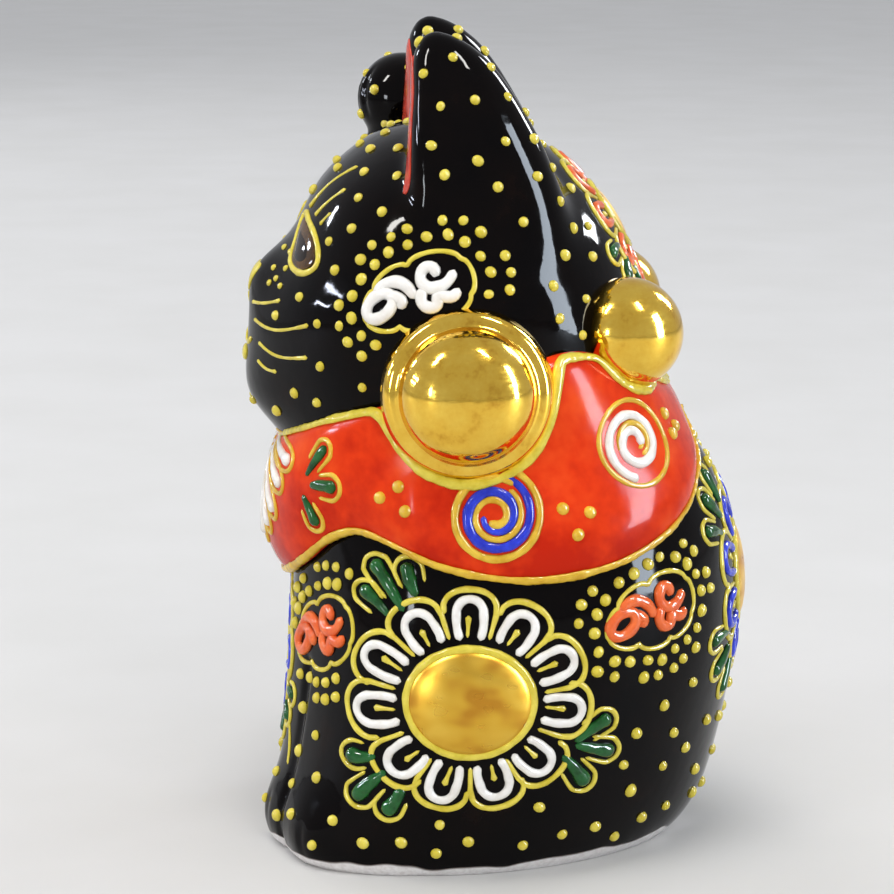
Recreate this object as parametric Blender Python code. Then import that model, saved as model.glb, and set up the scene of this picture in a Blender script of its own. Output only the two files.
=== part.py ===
"""Beckoning cat figurine, about 120 mm tall: cast porcelain with gilt bells and raised enamel.

Metres, +Z up. The cat sits on z = 0 and looks towards -Y, so its own left side is +X. The
origin is on the flat underside. Tables and constants below are in millimetres.

The cat is one continuous outer form, described by level sections from the foot to the crown.
A seam hidden under the bib divides it into a hollow body casting and a hollow head casting.
Ears, raised foreleg, bib, bells and enamel trim are separate pieces that sit on that form.
"""

import math

import bpy
import numpy as np
from mathutils import Vector
from mathutils.bvhtree import BVHTree

MM = 0.001
GAP = 0.3                       # clearance between neighbouring pieces
WALL = 3.2                      # porcelain wall thickness
BASE_THICKNESS = 4.0
CROWN_HEIGHT = 104.9
VENT_RADIUS = 4.0               # casting vent through the underside
VENT_AT = (0.0, 13.0)
SEAM_HEIGHT = 57.0              # neck seam, above the origin, and how it climbs to the back
SEAM_SLOPE = 0.2
BEAD_RADIUS = 0.75              # trailed enamel line

# Sections of the outer form: height, front, back, widest place along Y, half width,
# squareness of the front half and of the back half (2 is an ellipse).
FORM_SECTIONS = (
    (0.0, -23.6, 33.4, -3.0, 29.8, 2.80, 1.90),
    (1.6, -24.4, 35.2, -2.5, 30.8, 2.80, 1.92),
    (5.0, -24.7, 37.4, -1.5, 31.8, 2.75, 1.95),
    (10.0, -24.2, 39.2, 0.0, 32.8, 2.65, 2.00),
    (17.0, -23.4, 40.9, 2.0, 33.8, 2.50, 2.00),
    (26.0, -22.8, 42.4, 4.0, 34.7, 2.40, 2.05),
    (35.0, -22.6, 42.9, 5.5, 34.8, 2.30, 2.10),
    (44.0, -22.5, 42.1, 6.0, 33.6, 2.20, 2.10),
    (51.0, -22.5, 40.2, 6.0, 31.3, 2.20, 2.10),
    (57.0, -22.7, 37.0, 5.0, 28.9, 2.20, 2.10),
    (62.0, -23.3, 33.6, 3.5, 28.2, 2.25, 2.10),
    (67.0, -24.0, 31.4, 2.0, 29.2, 2.30, 2.10),
    (73.0, -24.4, 30.2, 1.0, 30.4, 2.35, 2.10),
    (79.0, -24.2, 29.0, 0.5, 30.8, 2.35, 2.10),
    (85.0, -22.8, 27.0, 1.0, 30.0, 2.25, 2.05),
    (91.0, -20.8, 23.9, 0.8, 27.8, 2.15, 2.00),
    (96.2, -18.2, 19.8, 0.4, 24.2, 2.05, 2.00),
    (100.6, -13.6, 14.8, -0.2, 18.4, 2.00, 2.00),
    (103.6, -8.2, 8.6, -0.4, 10.8, 2.00, 2.00),
    (CROWN_HEIGHT, 0.0, 0.0, 0.0, 0.0, 2.00, 2.00),
)

# Soft swellings on the form: centre, reach along X, Y and Z, and how far each stands out.
MUZZLE = ((0.0, -25.0, 73.0), (15.0, 20.0, 11.0), 4.5)
NOSE = ((0.0, -24.0, 82.0), (6.5, 12.0, 4.5), 2.2)
CHIN = ((0.0, -25.0, 65.0), (12.0, 12.0, 5.5), 2.4)
LOWERED_FORELEG = ((10.5, -23.0, 20.0), (6.5, 10.0, 24.0), 1.0)
LOWERED_PAW = ((10.5, -24.0, 4.0), (7.0, 10.0, 6.0), 2.2)
LEFT_HIND_PAW = ((24.0, -20.0, 4.0), (6.5, 8.0, 6.0), 2.2)
RIGHT_HIND_PAW = ((-24.0, -20.0, 4.0), (6.5, 8.0, 6.0), 2.2)
LEFT_HAUNCH = ((34.0, 0.0, 16.0), (12.0, 16.0, 14.0), 1.1)
RIGHT_HAUNCH = ((-34.0, 0.0, 16.0), (12.0, 16.0, 14.0), 1.1)
SWELLINGS = (MUZZLE, NOSE, CHIN, LOWERED_FORELEG, LOWERED_PAW, LEFT_HIND_PAW, RIGHT_HIND_PAW,
             LEFT_HAUNCH, RIGHT_HAUNCH)

# Ear sections in the ear's own place: height, centre along X, half width, front, back, widest.
EAR_SECTIONS = (
    (86.0, 16.9, 10.4, -6.6, 18.6, -1.0),
    (93.0, 16.9, 10.2, -5.9, 17.0, -1.6),
    (99.0, 16.8, 9.5, -5.6, 14.9, -2.0),
    (105.0, 16.8, 8.1, -5.4, 11.8, -2.2),
    (110.0, 16.8, 6.4, -5.2, 8.8, -2.0),
    (114.4, 16.9, 4.3, -5.3, 5.4, -1.6),
    (117.4, 17.0, 2.1, -4.2, 1.4, -2.0),
    (118.5, 17.0, 0.0, -2.2, -2.2, -2.2),
)
EAR_TURN = 10.0                 # degrees, so that the front of each ear looks inwards a little

# Raised foreleg, on the cat's right: centre of each section and its radius.
FORELEG_SECTIONS = (
    (-25.0, -8.6, 38.0, 8.2),
    (-29.5, -12.0, 48.0, 8.6),
    (-32.0, -15.2, 59.0, 8.0),
    (-32.6, -16.0, 71.0, 7.2),
    (-32.8, -13.0, 83.0, 6.4),
    (-33.2, -7.6, 93.5, 6.0),
    (-33.4, -4.0, 100.4, 6.5),
    (-33.2, -5.8, 104.7, 7.1),
)

# The bib, by bearing from straight ahead: height of its lower edge and of its upper edge.
BIB_AXIS_Y = 7.0
BIB_EDGES = (
    (0.0, 38.6, 59.4),
    (16.0, 39.6, 60.6),
    (33.0, 43.6, 63.0),
    (48.0, 48.4, 65.6),
    (60.0, 48.2, 67.4),
    (74.0, 45.4, 69.6),
    (92.0, 43.4, 72.4),
    (108.0, 43.8, 74.6),
    (124.0, 46.2, 73.0),
    (142.0, 51.2, 70.0),
    (157.0, 56.4, 68.0),
    (169.0, 60.4, 67.0),
    (180.0, 61.8, 66.6),
)
BIB_THICKNESS = 4.8
BIB_FULL_HEIGHT = 22.0          # where the bib is lower than this, it is thinner too
BIB_SINK = 2.0                  # how far the uncut bib reaches inside the form
EDGING_RISE = 0.07              # how far up from the bib's edge its trailed line lies
GILDING_SIDESTEP = 0.35         # extra lift of the upper line, which winds round the gilding

# Gilt side bell: turned outline as radius and distance out from its seat.
BELL_OUTLINE = (
    (11.9, -10.0), (12.0, 0.2), (11.5, 1.8), (10.7, 2.6), (9.9, 3.0), (9.4, 3.7),
    (8.8, 5.2), (7.4, 7.2), (5.3, 8.5), (2.8, 9.3), (0.0, 9.6),
)
BELL_SEAT = (30.8, 1.9, 69.4)
BELL_LIFT = 4.0                # degrees that a bell looks upwards
BALL_CENTRE = (18.4, 25.0, 76.0)
BALL_RADIUS = 7.9

# Gilt flower centres: name, middle of the flower seen along its direction, direction, radii.
FLOWERS = (
    ("left_flower", (60.0, 2.2, 26.5), (-1.0, 0.0, 0.0), 7.7, 6.7),
    ("right_flower", (-60.0, 2.2, 26.5), (1.0, 0.0, 0.0), 7.7, 6.7),
    ("chest_flower", (0.0, -60.0, 27.5), (0.0, 1.0, 0.0), 5.2, 5.2),
    ("back_flower", (0.0, 70.0, 38.0), (0.0, -1.0, 0.0), 7.4, 6.8),
    ("head_flower", (0.0, 60.0, 105.4), (0.0, -1.0, -0.4), 5.4, 5.0),
)
DISC_THICKNESS = 0.7
DISC_CROWN = 0.8

FOOT_STEP = 0.4                 # least height of anything above the foot's own edge

FORM_RINGS = 44
FORM_SIDES = 40
CAVITY_RINGS = 18
CAVITY_SIDES = 24


def curve_through(rows, at):
    """Natural cubic spline through evenly numbered rows, read at the given row numbers."""
    rows = np.asarray(rows, float)
    count = len(rows)
    matrix = np.eye(count)
    right = np.zeros_like(rows)
    for index in range(1, count - 1):
        matrix[index, index - 1:index + 2] = (1.0, 4.0, 1.0)
        right[index] = 6.0 * (rows[index - 1] - 2.0 * rows[index] + rows[index + 1])
    bend = np.linalg.solve(matrix, right)
    at = np.asarray(at, float)
    low = np.clip(at.astype(int), 0, count - 2)
    part = (at - low)[:, None]
    rest = 1.0 - part
    return (rest * rows[low] + part * rows[low + 1]
            + ((rest ** 3 - rest) * bend[low] + (part ** 3 - part) * bend[low + 1]) / 6.0)


def dome_rows(rows, front, back, width):
    """Rows with the last ones repeated past the pole, so that the spline closes as a dome."""
    rows = [list(row) for row in rows]
    for row in (rows[-2], rows[-3]):
        past = list(row)
        past[front], past[back] = row[back], row[front]
        past[width] = -row[width]
        rows.append(past)
    return rows


def section_points(front, back, widest, width, front_power, back_power, angles):
    """X and Y of one level section, a superellipse with its own front and back halves."""
    cosine, sine = np.cos(angles), np.sin(angles)
    power = np.where(sine < 0.0, front_power, back_power)
    depth = np.where(sine < 0.0, widest - front, back - widest)
    x = width * np.sign(cosine) * np.abs(cosine) ** (2.0 / power)
    y = widest + depth * np.sign(sine) * np.abs(sine) ** (2.0 / power)
    return x, y


def form_grid(rings, sides, inset=0.0):
    """Rings of points on the form, foot to crown, without its swellings."""
    rows = dome_rows(FORM_SECTIONS, 1, 2, 4)
    top = len(FORM_SECTIONS) - 1
    angles = np.linspace(0.0, 2.0 * math.pi, sides, endpoint=False)
    shrink = (CROWN_HEIGHT - inset) / CROWN_HEIGHT
    grid = []
    for row in curve_through(rows, np.linspace(0.0, top, rings)[:-1]):
        height, front, back, widest, width, front_power, back_power = row
        x, y = section_points(front + inset, back - inset, widest, width - inset,
                              front_power, back_power, angles)
        grid.append(np.column_stack((x, y, np.full(sides, height * shrink))))
    return np.array(grid)


def grid_normals(grid):
    """Outward unit normals of rings of points that close on themselves."""
    around = np.roll(grid, -1, axis=1) - np.roll(grid, 1, axis=1)
    upward = np.gradient(grid, axis=0)
    normals = np.cross(around, upward)
    return normals / np.linalg.norm(normals, axis=2, keepdims=True)


def swell(grid, swellings):
    """Push points outward over each swelling's soft reach."""
    normals = grid_normals(grid)
    push = np.zeros(grid.shape[:2])
    for centre, reach, height in swellings:
        away = (grid - np.array(centre)) / np.array(reach)
        push += height * np.exp(-np.sum(away ** 2, axis=2))
    return grid + normals * push[..., None]


def loft(grid, bottom=None, top=None):
    """Vertices and faces of a closed solid through rings, with a point or a fan at each end."""
    rings, sides = grid.shape[:2]
    vertices = [tuple(point) for point in grid.reshape(-1, 3)]
    faces = []
    for ring in range(rings - 1):
        for side in range(sides):
            after = (side + 1) % sides
            low, high = ring * sides, (ring + 1) * sides
            faces.append((low + side, low + after, high + after, high + side))
    bottom = grid[0].mean(axis=0) if bottom is None else bottom
    top = grid[-1].mean(axis=0) if top is None else top
    vertices += [tuple(bottom), tuple(top)]
    last = (rings - 1) * sides
    for side in range(sides):
        after = (side + 1) % sides
        faces.append((after, side, len(vertices) - 2))
        faces.append((last + side, last + after, len(vertices) - 1))
    return vertices, faces


def tube(points, radius, sides=6):
    """A closed loop of round section through the points."""
    points = np.asarray(points, float)
    along = np.roll(points, -1, axis=0) - np.roll(points, 1, axis=0)
    along /= np.linalg.norm(along, axis=1, keepdims=True)
    away = points - points.mean(axis=0)
    first = np.cross(along, away)
    first /= np.linalg.norm(first, axis=1, keepdims=True)
    second = np.cross(along, first)
    vertices, faces = [], []
    for point, one, two in zip(points, first, second):
        for turn in np.linspace(0.0, 2.0 * math.pi, sides, endpoint=False):
            vertices.append(tuple(point + radius * (math.cos(turn) * one + math.sin(turn) * two)))
    for ring in range(len(points)):
        here, there = ring * sides, (ring + 1) % len(points) * sides
        for side in range(sides):
            after = (side + 1) % sides
            faces.append((here + side, here + after, there + after, there + side))
    return vertices, faces


def glaze(name, colour, roughness, metallic=0.0):
    """A plain Principled material."""
    material = bpy.data.materials.new(name)
    material.use_nodes = True
    shader = material.node_tree.nodes["Principled BSDF"]
    shader.inputs["Base Color"].default_value = (*colour, 1.0)
    shader.inputs["Roughness"].default_value = roughness
    shader.inputs["Metallic"].default_value = metallic
    material.diffuse_color = (*colour, 1.0)
    return material


def add_piece(name, vertices, faces, material=None):
    """One named object from millimetre vertices, faces outward, shaded smooth."""
    mesh = bpy.data.meshes.new(name)
    mesh.from_pydata([tuple(value * MM for value in vertex) for vertex in vertices], [], faces)
    mesh.validate()
    mesh.shade_smooth()
    mesh.set_sharp_from_angle(angle=math.radians(50.0))
    piece = bpy.data.objects.new(name, mesh)
    bpy.context.scene.collection.objects.link(piece)
    if material:
        mesh.materials.append(material)
    return piece


def add_cutter(name, vertices, faces):
    """A closed guide solid, kept out of the model."""
    cutter = add_piece(name, vertices, faces)
    cutter.hide_render = True
    cutter.display_type = 'WIRE'
    return cutter


def cut(piece, *cutters):
    """Take each cutter's volume out of the piece."""
    for cutter in cutters:
        modifier = piece.modifiers.new(f"less_{cutter.name}", 'BOOLEAN')
        modifier.operation = 'DIFFERENCE'
        modifier.solver = 'EXACT'
        modifier.object = cutter


def outer_form(offset=0.0):
    """The whole cat's outer skin as a closed solid, grown by the offset."""
    grid = swell(form_grid(FORM_RINGS, FORM_SIDES), SWELLINGS)
    grid[1:, :, 2] = np.maximum(grid[1:, :, 2], FOOT_STEP)
    grid[0, :, 2] = 0.0
    grid = grid + offset * grid_normals(grid)
    middle = (0.0, BIB_AXIS_Y, -offset)
    crown = (0.0, FORM_SECTIONS[-1][1], CROWN_HEIGHT + offset)
    grid[0, :, 2] = -offset
    return loft(grid, middle, crown)


def cavity_form():
    """The hollow inside the cat, from above its base to under its crown."""
    grid = form_grid(CAVITY_RINGS, CAVITY_SIDES, inset=WALL)
    keep = grid[:, 0, 2] > BASE_THICKNESS
    grid = grid[keep]
    grid[0, :, 2] = BASE_THICKNESS
    middle = (0.0, BIB_AXIS_Y, BASE_THICKNESS)
    crown = (0.0, FORM_SECTIONS[-1][1], CROWN_HEIGHT - WALL)
    return loft(grid, middle, crown)


def seam_block(above):
    """A block on one side of the sloping neck seam and half the gap across it."""
    reach = 90.0
    side = 1.0 if above else -1.0
    corners = []
    for level in (0.0, side * reach):
        for x, y in ((-reach, -reach), (reach, -reach), (reach, reach), (-reach, reach)):
            seam = SEAM_HEIGHT + SEAM_SLOPE * y - side * GAP / 2.0
            corners.append((x, y, seam + level))
    faces = [(3, 2, 1, 0), (4, 5, 6, 7), (0, 1, 5, 4), (1, 2, 6, 5), (2, 3, 7, 6), (3, 0, 4, 7)]
    if not above:
        faces = [tuple(reversed(face)) for face in faces]
    return corners, faces


def vent_pin():
    """The round pin that leaves the vent through the base."""
    turns = np.linspace(0.0, 2.0 * math.pi, 16, endpoint=False)
    rings = [np.column_stack((VENT_AT[0] + VENT_RADIUS * np.cos(turns),
                              VENT_AT[1] + VENT_RADIUS * np.sin(turns),
                              np.full(16, height))) for height in (-5.0, BASE_THICKNESS + 5.0)]
    return loft(np.array(rings))


def ear_form(side):
    """One ear: a cone of D-shaped sections, its flatter face to the front."""
    rows = dome_rows(EAR_SECTIONS, 3, 4, 2)
    angles = np.linspace(0.0, 2.0 * math.pi, 18, endpoint=False)
    grid = []
    for row in curve_through(rows, np.linspace(0.0, len(EAR_SECTIONS) - 1, 13)[:-1]):
        height, centre, width, front, back, widest = row
        x, y = section_points(front, back, widest, width, 2.4, 2.0, angles)
        grid.append(np.column_stack((x, y, np.full(len(angles), height))))
        grid[-1] = turn_about(grid[-1], centre, -EAR_TURN)
    tip = EAR_SECTIONS[-1]
    vertices, faces = loft(np.array(grid), top=(tip[1], tip[3], tip[0]))
    if side < 0:
        vertices = [(-x, y, z) for x, y, z in vertices]
        faces = [tuple(reversed(face)) for face in faces]
    return vertices, faces


def turn_about(points, centre_x, degrees):
    """Points around x = 0 turned about the vertical and moved out to the centre."""
    cosine, sine = math.cos(math.radians(degrees)), math.sin(math.radians(degrees))
    x = centre_x + cosine * points[:, 0] - sine * points[:, 1]
    y = sine * points[:, 0] + cosine * points[:, 1]
    return np.column_stack((x, y, points[:, 2]))


def foreleg_form(offset=0.0):
    """The raised foreleg: round sections square to its curve, ending in a round paw."""
    sides = 16
    rows = curve_through(FORELEG_SECTIONS, np.linspace(0.0, len(FORELEG_SECTIONS) - 1, 15))
    centres, radii = rows[:, :3], rows[:, 3] + offset
    along = np.gradient(centres, axis=0)
    along /= np.linalg.norm(along, axis=1, keepdims=True)
    turns = np.linspace(0.0, 2.0 * math.pi, sides, endpoint=False)
    grid = []
    for centre, radius, axis in zip(centres, radii, along):
        grid.append(round_section(centre, axis, radius, turns))
    for lift in (20.0, 40.0, 60.0, 77.0):
        rise = radii[-1] * math.sin(math.radians(lift))
        narrow = radii[-1] * math.cos(math.radians(lift))
        grid.append(round_section(centres[-1] + rise * along[-1], along[-1], narrow, turns))
    return loft(np.array(grid), top=centres[-1] + radii[-1] * along[-1])


def round_section(centre, axis, radius, turns):
    """A circle of points about an axis."""
    first = np.cross(axis, (0.0, -1.0, 0.0))
    first /= np.linalg.norm(first)
    second = np.cross(axis, first)
    return centre + radius * (np.outer(np.cos(turns), first) + np.outer(np.sin(turns), second))


def section_table():
    """Level sections of the form at close steps of height, for reading any height."""
    rows = dome_rows(FORM_SECTIONS, 1, 2, 4)
    return curve_through(rows, np.linspace(0.0, len(FORM_SECTIONS) - 1, 400))


def ring_point(table, bearing, height):
    """Point of the form and its level outward direction at a bearing from straight ahead."""
    row = [np.interp(height, table[:, 0], table[:, column]) for column in range(1, 7)]
    angles = np.linspace(-math.pi / 2.0, 1.5 * math.pi, 721)
    x, y = section_points(*row, angles)
    bearings = np.unwrap(np.arctan2(x, BIB_AXIS_Y - y))
    place = np.array((np.interp(bearing, bearings, x), np.interp(bearing, bearings, y), height))
    near = np.array((np.interp(bearing + 0.02, bearings, x), np.interp(bearing + 0.02, bearings, y)))
    ahead = near - place[:2]
    outward = np.array((ahead[1], -ahead[0], 0.0))
    return place, outward / np.linalg.norm(outward)


def bib_edges(bearing):
    """Heights of the bib's lower and upper edge at a bearing, the same on both sides."""
    table = np.array(BIB_EDGES)
    mirrored = np.vstack((table[1:][::-1] * (-1.0, 1.0, 1.0), table))
    turned = math.degrees(bearing + math.pi) % 360.0 - 180.0
    at = np.interp(turned, mirrored[:, 0], np.arange(len(mirrored)))
    row = curve_through(mirrored, [at])[0]
    return row[1], row[2]


def bib_point(table, bearing, rise, offset=0.0):
    """Point on the bib's outer face, from its lower edge at rise 0 to its upper edge at 1."""
    lower, upper = bib_edges(bearing)
    place, outward = ring_point(table, bearing, lower + (upper - lower) * rise)
    full = min(1.0, (upper - lower) / BIB_FULL_HEIGHT)
    thickness = BIB_THICKNESS * full * max(0.0, math.sin(math.pi * rise)) ** 0.5
    return place + (thickness + offset) * outward


def bib_form():
    """The bib as a thick band round the neck, reaching a little inside the form."""
    table = section_table()
    outer = (0.0, 0.03, 0.1, 0.25, 0.45, 0.65, 0.85, 0.96, 1.0)
    rings = []
    for bearing in np.linspace(0.0, 2.0 * math.pi, 64, endpoint=False):
        loop = [bib_point(table, bearing, rise) for rise in outer]
        loop += [bib_point(table, bearing, rise, -BIB_SINK - BIB_THICKNESS) for rise in (0.9, 0.5, 0.1)]
        rings.append(loop)
    rings = np.array(rings)
    count, loop = rings.shape[:2]
    vertices = [tuple(point) for point in rings.reshape(-1, 3)]
    faces = []
    for ring in range(count):
        for step in range(loop):
            here, there = ring * loop, (ring + 1) % count * loop
            after = (step + 1) % loop
            faces.append((here + step, there + step, there + after, here + after))
    return vertices, faces


def turned_form(outline, seat, axis, sides=24):
    """A turned solid: the outline's radius and distance along an axis from its seat."""
    turns = np.linspace(0.0, 2.0 * math.pi, sides, endpoint=False)
    axis = np.array(axis, float)
    axis /= np.linalg.norm(axis)
    seat = np.array(seat, float)
    grid = [round_section(seat + distance * axis, axis, radius, turns)
            for radius, distance in outline[:-1]]
    return loft(np.array(grid), top=seat + outline[-1][1] * axis)


def bell_form(side, offset=0.0):
    """A gilt side bell: a brim and a dome, its back sunk towards the head."""
    lift = math.radians(BELL_LIFT)
    outline = [(radius + offset if radius else 0.0, distance + offset)
               for radius, distance in BELL_OUTLINE]
    seat = (side * BELL_SEAT[0], BELL_SEAT[1], BELL_SEAT[2])
    return turned_form(outline, seat, (side * math.cos(lift), 0.0, math.sin(lift)))


def ball_form(side, offset=0.0):
    """A gilt ball at the nape."""
    radius = BALL_RADIUS + offset
    steps = np.radians(np.linspace(-78.0, 90.0, 11))
    outline = [(radius * math.cos(step), radius * math.sin(step)) for step in steps]
    centre = (side * BALL_CENTRE[0], BALL_CENTRE[1], BALL_CENTRE[2])
    return turned_form(outline, centre, (side * 0.5, 0.85, 0.1), sides=20)


def surface_of(vertices, faces):
    """A tree that finds places on the form's facets."""
    return BVHTree.FromPolygons([Vector(vertex) for vertex in vertices], faces)


def flower_place(surface, start, direction, across, up, point):
    """Place on the form, and its normal, for a point in the flower's own plane."""
    origin = Vector(start) + across * point[0] + up * point[1]
    hit, normal, _, _ = surface.ray_cast(origin, Vector(direction).normalized())
    return np.array(hit), np.array(normal)


def flower_axes(direction):
    """Level and upward directions across a flower that is looked at along its direction."""
    looked = Vector(direction).normalized()
    across = looked.cross(Vector((0.0, 0.0, 1.0))).normalized()
    return across, across.cross(looked).normalized()


def flower_disc(surface, start, direction, wide, high):
    """A low dome that follows the form under it, clear of it by the gap."""
    across, up = flower_axes(direction)
    under, over = [], []
    sides = 20
    turns = np.linspace(0.0, 2.0 * math.pi, sides, endpoint=False)
    for reach in (1.0, 0.7, 0.35):
        low, top = [], []
        for turn in turns:
            point = (wide * reach * math.cos(turn), high * reach * math.sin(turn))
            hit, normal = flower_place(surface, start, direction, across, up, point)
            rise = DISC_THICKNESS + DISC_CROWN * (1.0 - reach ** 2)
            low.append(hit + GAP * normal)
            top.append(hit + (GAP + rise) * normal)
        under.append(low)
        over.append(top)
    hit, normal = flower_place(surface, start, direction, across, up, (0.0, 0.0))
    grid = np.array(under[::-1] + over)
    bottom = hit + GAP * normal
    top = hit + (GAP + DISC_THICKNESS + DISC_CROWN) * normal
    return outward_faces(*loft(grid, bottom, top))


def outward_faces(vertices, faces):
    """The same solid with its faces turned to point out."""
    points = np.array(vertices)
    middle = points.mean(axis=0)
    volume = 0.0
    for face in faces:
        for second, third in zip(face[1:-1], face[2:]):
            first = points[face[0]] - middle
            volume += np.dot(first, np.cross(points[second] - middle, points[third] - middle))
    if volume < 0.0:
        faces = [tuple(reversed(face)) for face in faces]
    return vertices, faces


def flower_ring(surface, start, direction, wide, high):
    """The trailed ring round a flower's centre."""
    across, up = flower_axes(direction)
    points = []
    for turn in np.linspace(0.0, 2.0 * math.pi, 24, endpoint=False):
        spread = GAP + BEAD_RADIUS
        point = ((wide + spread) * math.cos(turn), (high + spread) * math.sin(turn))
        hit, normal = flower_place(surface, start, direction, across, up, point)
        points.append(hit + (GAP + BEAD_RADIUS) * normal)
    return outward_faces(*tube(points, BEAD_RADIUS))


def edging_loop(upper):
    """The trailed line along one edge of the bib, passing under the bells and balls."""
    table = section_table()
    offset = GAP + BEAD_RADIUS + (GILDING_SIDESTEP if upper else 0.0)
    points = []
    for bearing in np.linspace(0.0, 2.0 * math.pi, 96, endpoint=False):
        rise = 1.0 - EDGING_RISE if upper else EDGING_RISE
        point = bib_point(table, bearing, rise, offset)
        while upper and near_gilding(point):
            rise -= 0.02
            point = bib_point(table, bearing, rise, offset)
        points.append(point)
    return outward_faces(*tube(points, BEAD_RADIUS))


def near_gilding(point):
    """Whether a point of the edging's middle line would touch a bell or a ball."""
    x, y, z = abs(point[0]), point[1], point[2]
    clear = GAP + BEAD_RADIUS + 0.3
    bell_reach = math.hypot(y - BELL_SEAT[1], z - BELL_SEAT[2] - 0.6)
    ball_reach = math.dist((x, y, z), BALL_CENTRE)
    on_bell_side = x > 12.0
    return ((on_bell_side and bell_reach < BELL_OUTLINE[0][0] + clear)
            or ball_reach < BALL_RADIUS + clear)


def build_castings(black):
    """The hollow body and head, divided at the neck seam."""
    cavity = add_cutter("cavity_guide", *cavity_form())
    vent = add_cutter("vent_guide", *vent_pin())
    body = add_piece("body_casting", *outer_form(), black)
    cut(body, cavity, vent, add_cutter("above_seam_guide", *seam_block(above=True)))
    head = add_piece("head_casting", *outer_form(), black)
    cut(head, cavity, add_cutter("below_seam_guide", *seam_block(above=False)))


def build_applied_parts(black, red, gold, figure):
    """Ears, raised foreleg, bib, bells and balls, each cut back to what it sits on."""
    leg_room = add_cutter("foreleg_room_guide", *foreleg_form(GAP))
    foreleg = add_piece("raised_foreleg", *foreleg_form(), black)
    cut(foreleg, figure)
    bib = add_piece("bib", *bib_form(), red)
    cut(bib, figure, leg_room)
    for side, word in ((1.0, "left"), (-1.0, "right")):
        bell_room = add_cutter(f"{word}_bell_room_guide", *bell_form(side, GAP))
        ball_room = add_cutter(f"{word}_ball_room_guide", *ball_form(side, GAP))
        cut(bib, bell_room, ball_room)
        if side < 0:
            cut(foreleg, bell_room)
        ear = add_piece(f"{word}_ear", *ear_form(side), black)
        cut(ear, figure)
        bell = add_piece(f"{word}_side_bell", *bell_form(side), gold)
        cut(bell, figure)
        ball = add_piece(f"{word}_nape_ball", *ball_form(side), gold)
        cut(ball, figure)
    return leg_room


def build_enamel(yellow, gold, leg_room):
    """Trailed edging on the bib, and the gilt flower centres with their rings."""
    for word, upper in (("upper", True), ("lower", False)):
        edging = add_piece(f"bib_{word}_edging", *edging_loop(upper), yellow)
        cut(edging, leg_room)
    surface = surface_of(*outer_form())
    for name, start, direction, wide, high in FLOWERS:
        add_piece(f"{name}_disc", *flower_disc(surface, start, direction, wide, high), gold)
        add_piece(f"{name}_ring", *flower_ring(surface, start, direction, wide, high), yellow)


def main():
    for leftover in list(bpy.data.objects):
        bpy.data.objects.remove(leftover, do_unlink=True)
    black = glaze("black_glaze", (0.012, 0.010, 0.010), 0.06)
    red = glaze("red_enamel", (0.72, 0.07, 0.02), 0.12)
    gold = glaze("gilding", (0.83, 0.58, 0.18), 0.08, metallic=1.0)
    yellow = glaze("yellow_enamel", (0.80, 0.60, 0.10), 0.18)
    figure = add_cutter("figure_room_guide", *outer_form(GAP))
    build_castings(black)
    leg_room = build_applied_parts(black, red, gold, figure)
    build_enamel(yellow, gold, leg_room)


main()
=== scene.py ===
import math

import bpy
import numpy as np
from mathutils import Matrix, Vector
from mathutils.bvhtree import BVHTree


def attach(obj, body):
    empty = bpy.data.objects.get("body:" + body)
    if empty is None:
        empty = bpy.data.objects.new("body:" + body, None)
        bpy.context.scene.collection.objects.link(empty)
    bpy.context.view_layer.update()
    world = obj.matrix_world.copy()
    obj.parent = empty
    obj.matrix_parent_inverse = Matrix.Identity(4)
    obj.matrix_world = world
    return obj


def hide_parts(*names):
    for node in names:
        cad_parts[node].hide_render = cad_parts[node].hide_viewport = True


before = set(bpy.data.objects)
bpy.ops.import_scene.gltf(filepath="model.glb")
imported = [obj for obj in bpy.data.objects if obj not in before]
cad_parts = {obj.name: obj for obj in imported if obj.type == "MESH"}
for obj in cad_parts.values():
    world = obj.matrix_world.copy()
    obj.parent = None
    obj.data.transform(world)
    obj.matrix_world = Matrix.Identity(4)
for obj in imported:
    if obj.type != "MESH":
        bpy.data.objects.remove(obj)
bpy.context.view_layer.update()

# Looks of the beckoning cat. The cat's skin is rebuilt at a fine grain from the same sections as
# the CAD, every touch of raised enamel is laid on it as geometry, and each glaze is a node material.
# Sizes are in millimetres: the cat looks towards -Y, its left side is +X and z = 0 is the table.

MM = 0.001
CROWN_HEIGHT = 104.9
SEAM_HEIGHT = 57.0
SEAM_SLOPE = 0.2
VENT_RADIUS = 4.0
VENT_AT = np.array((0.0, 13.0))

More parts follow.
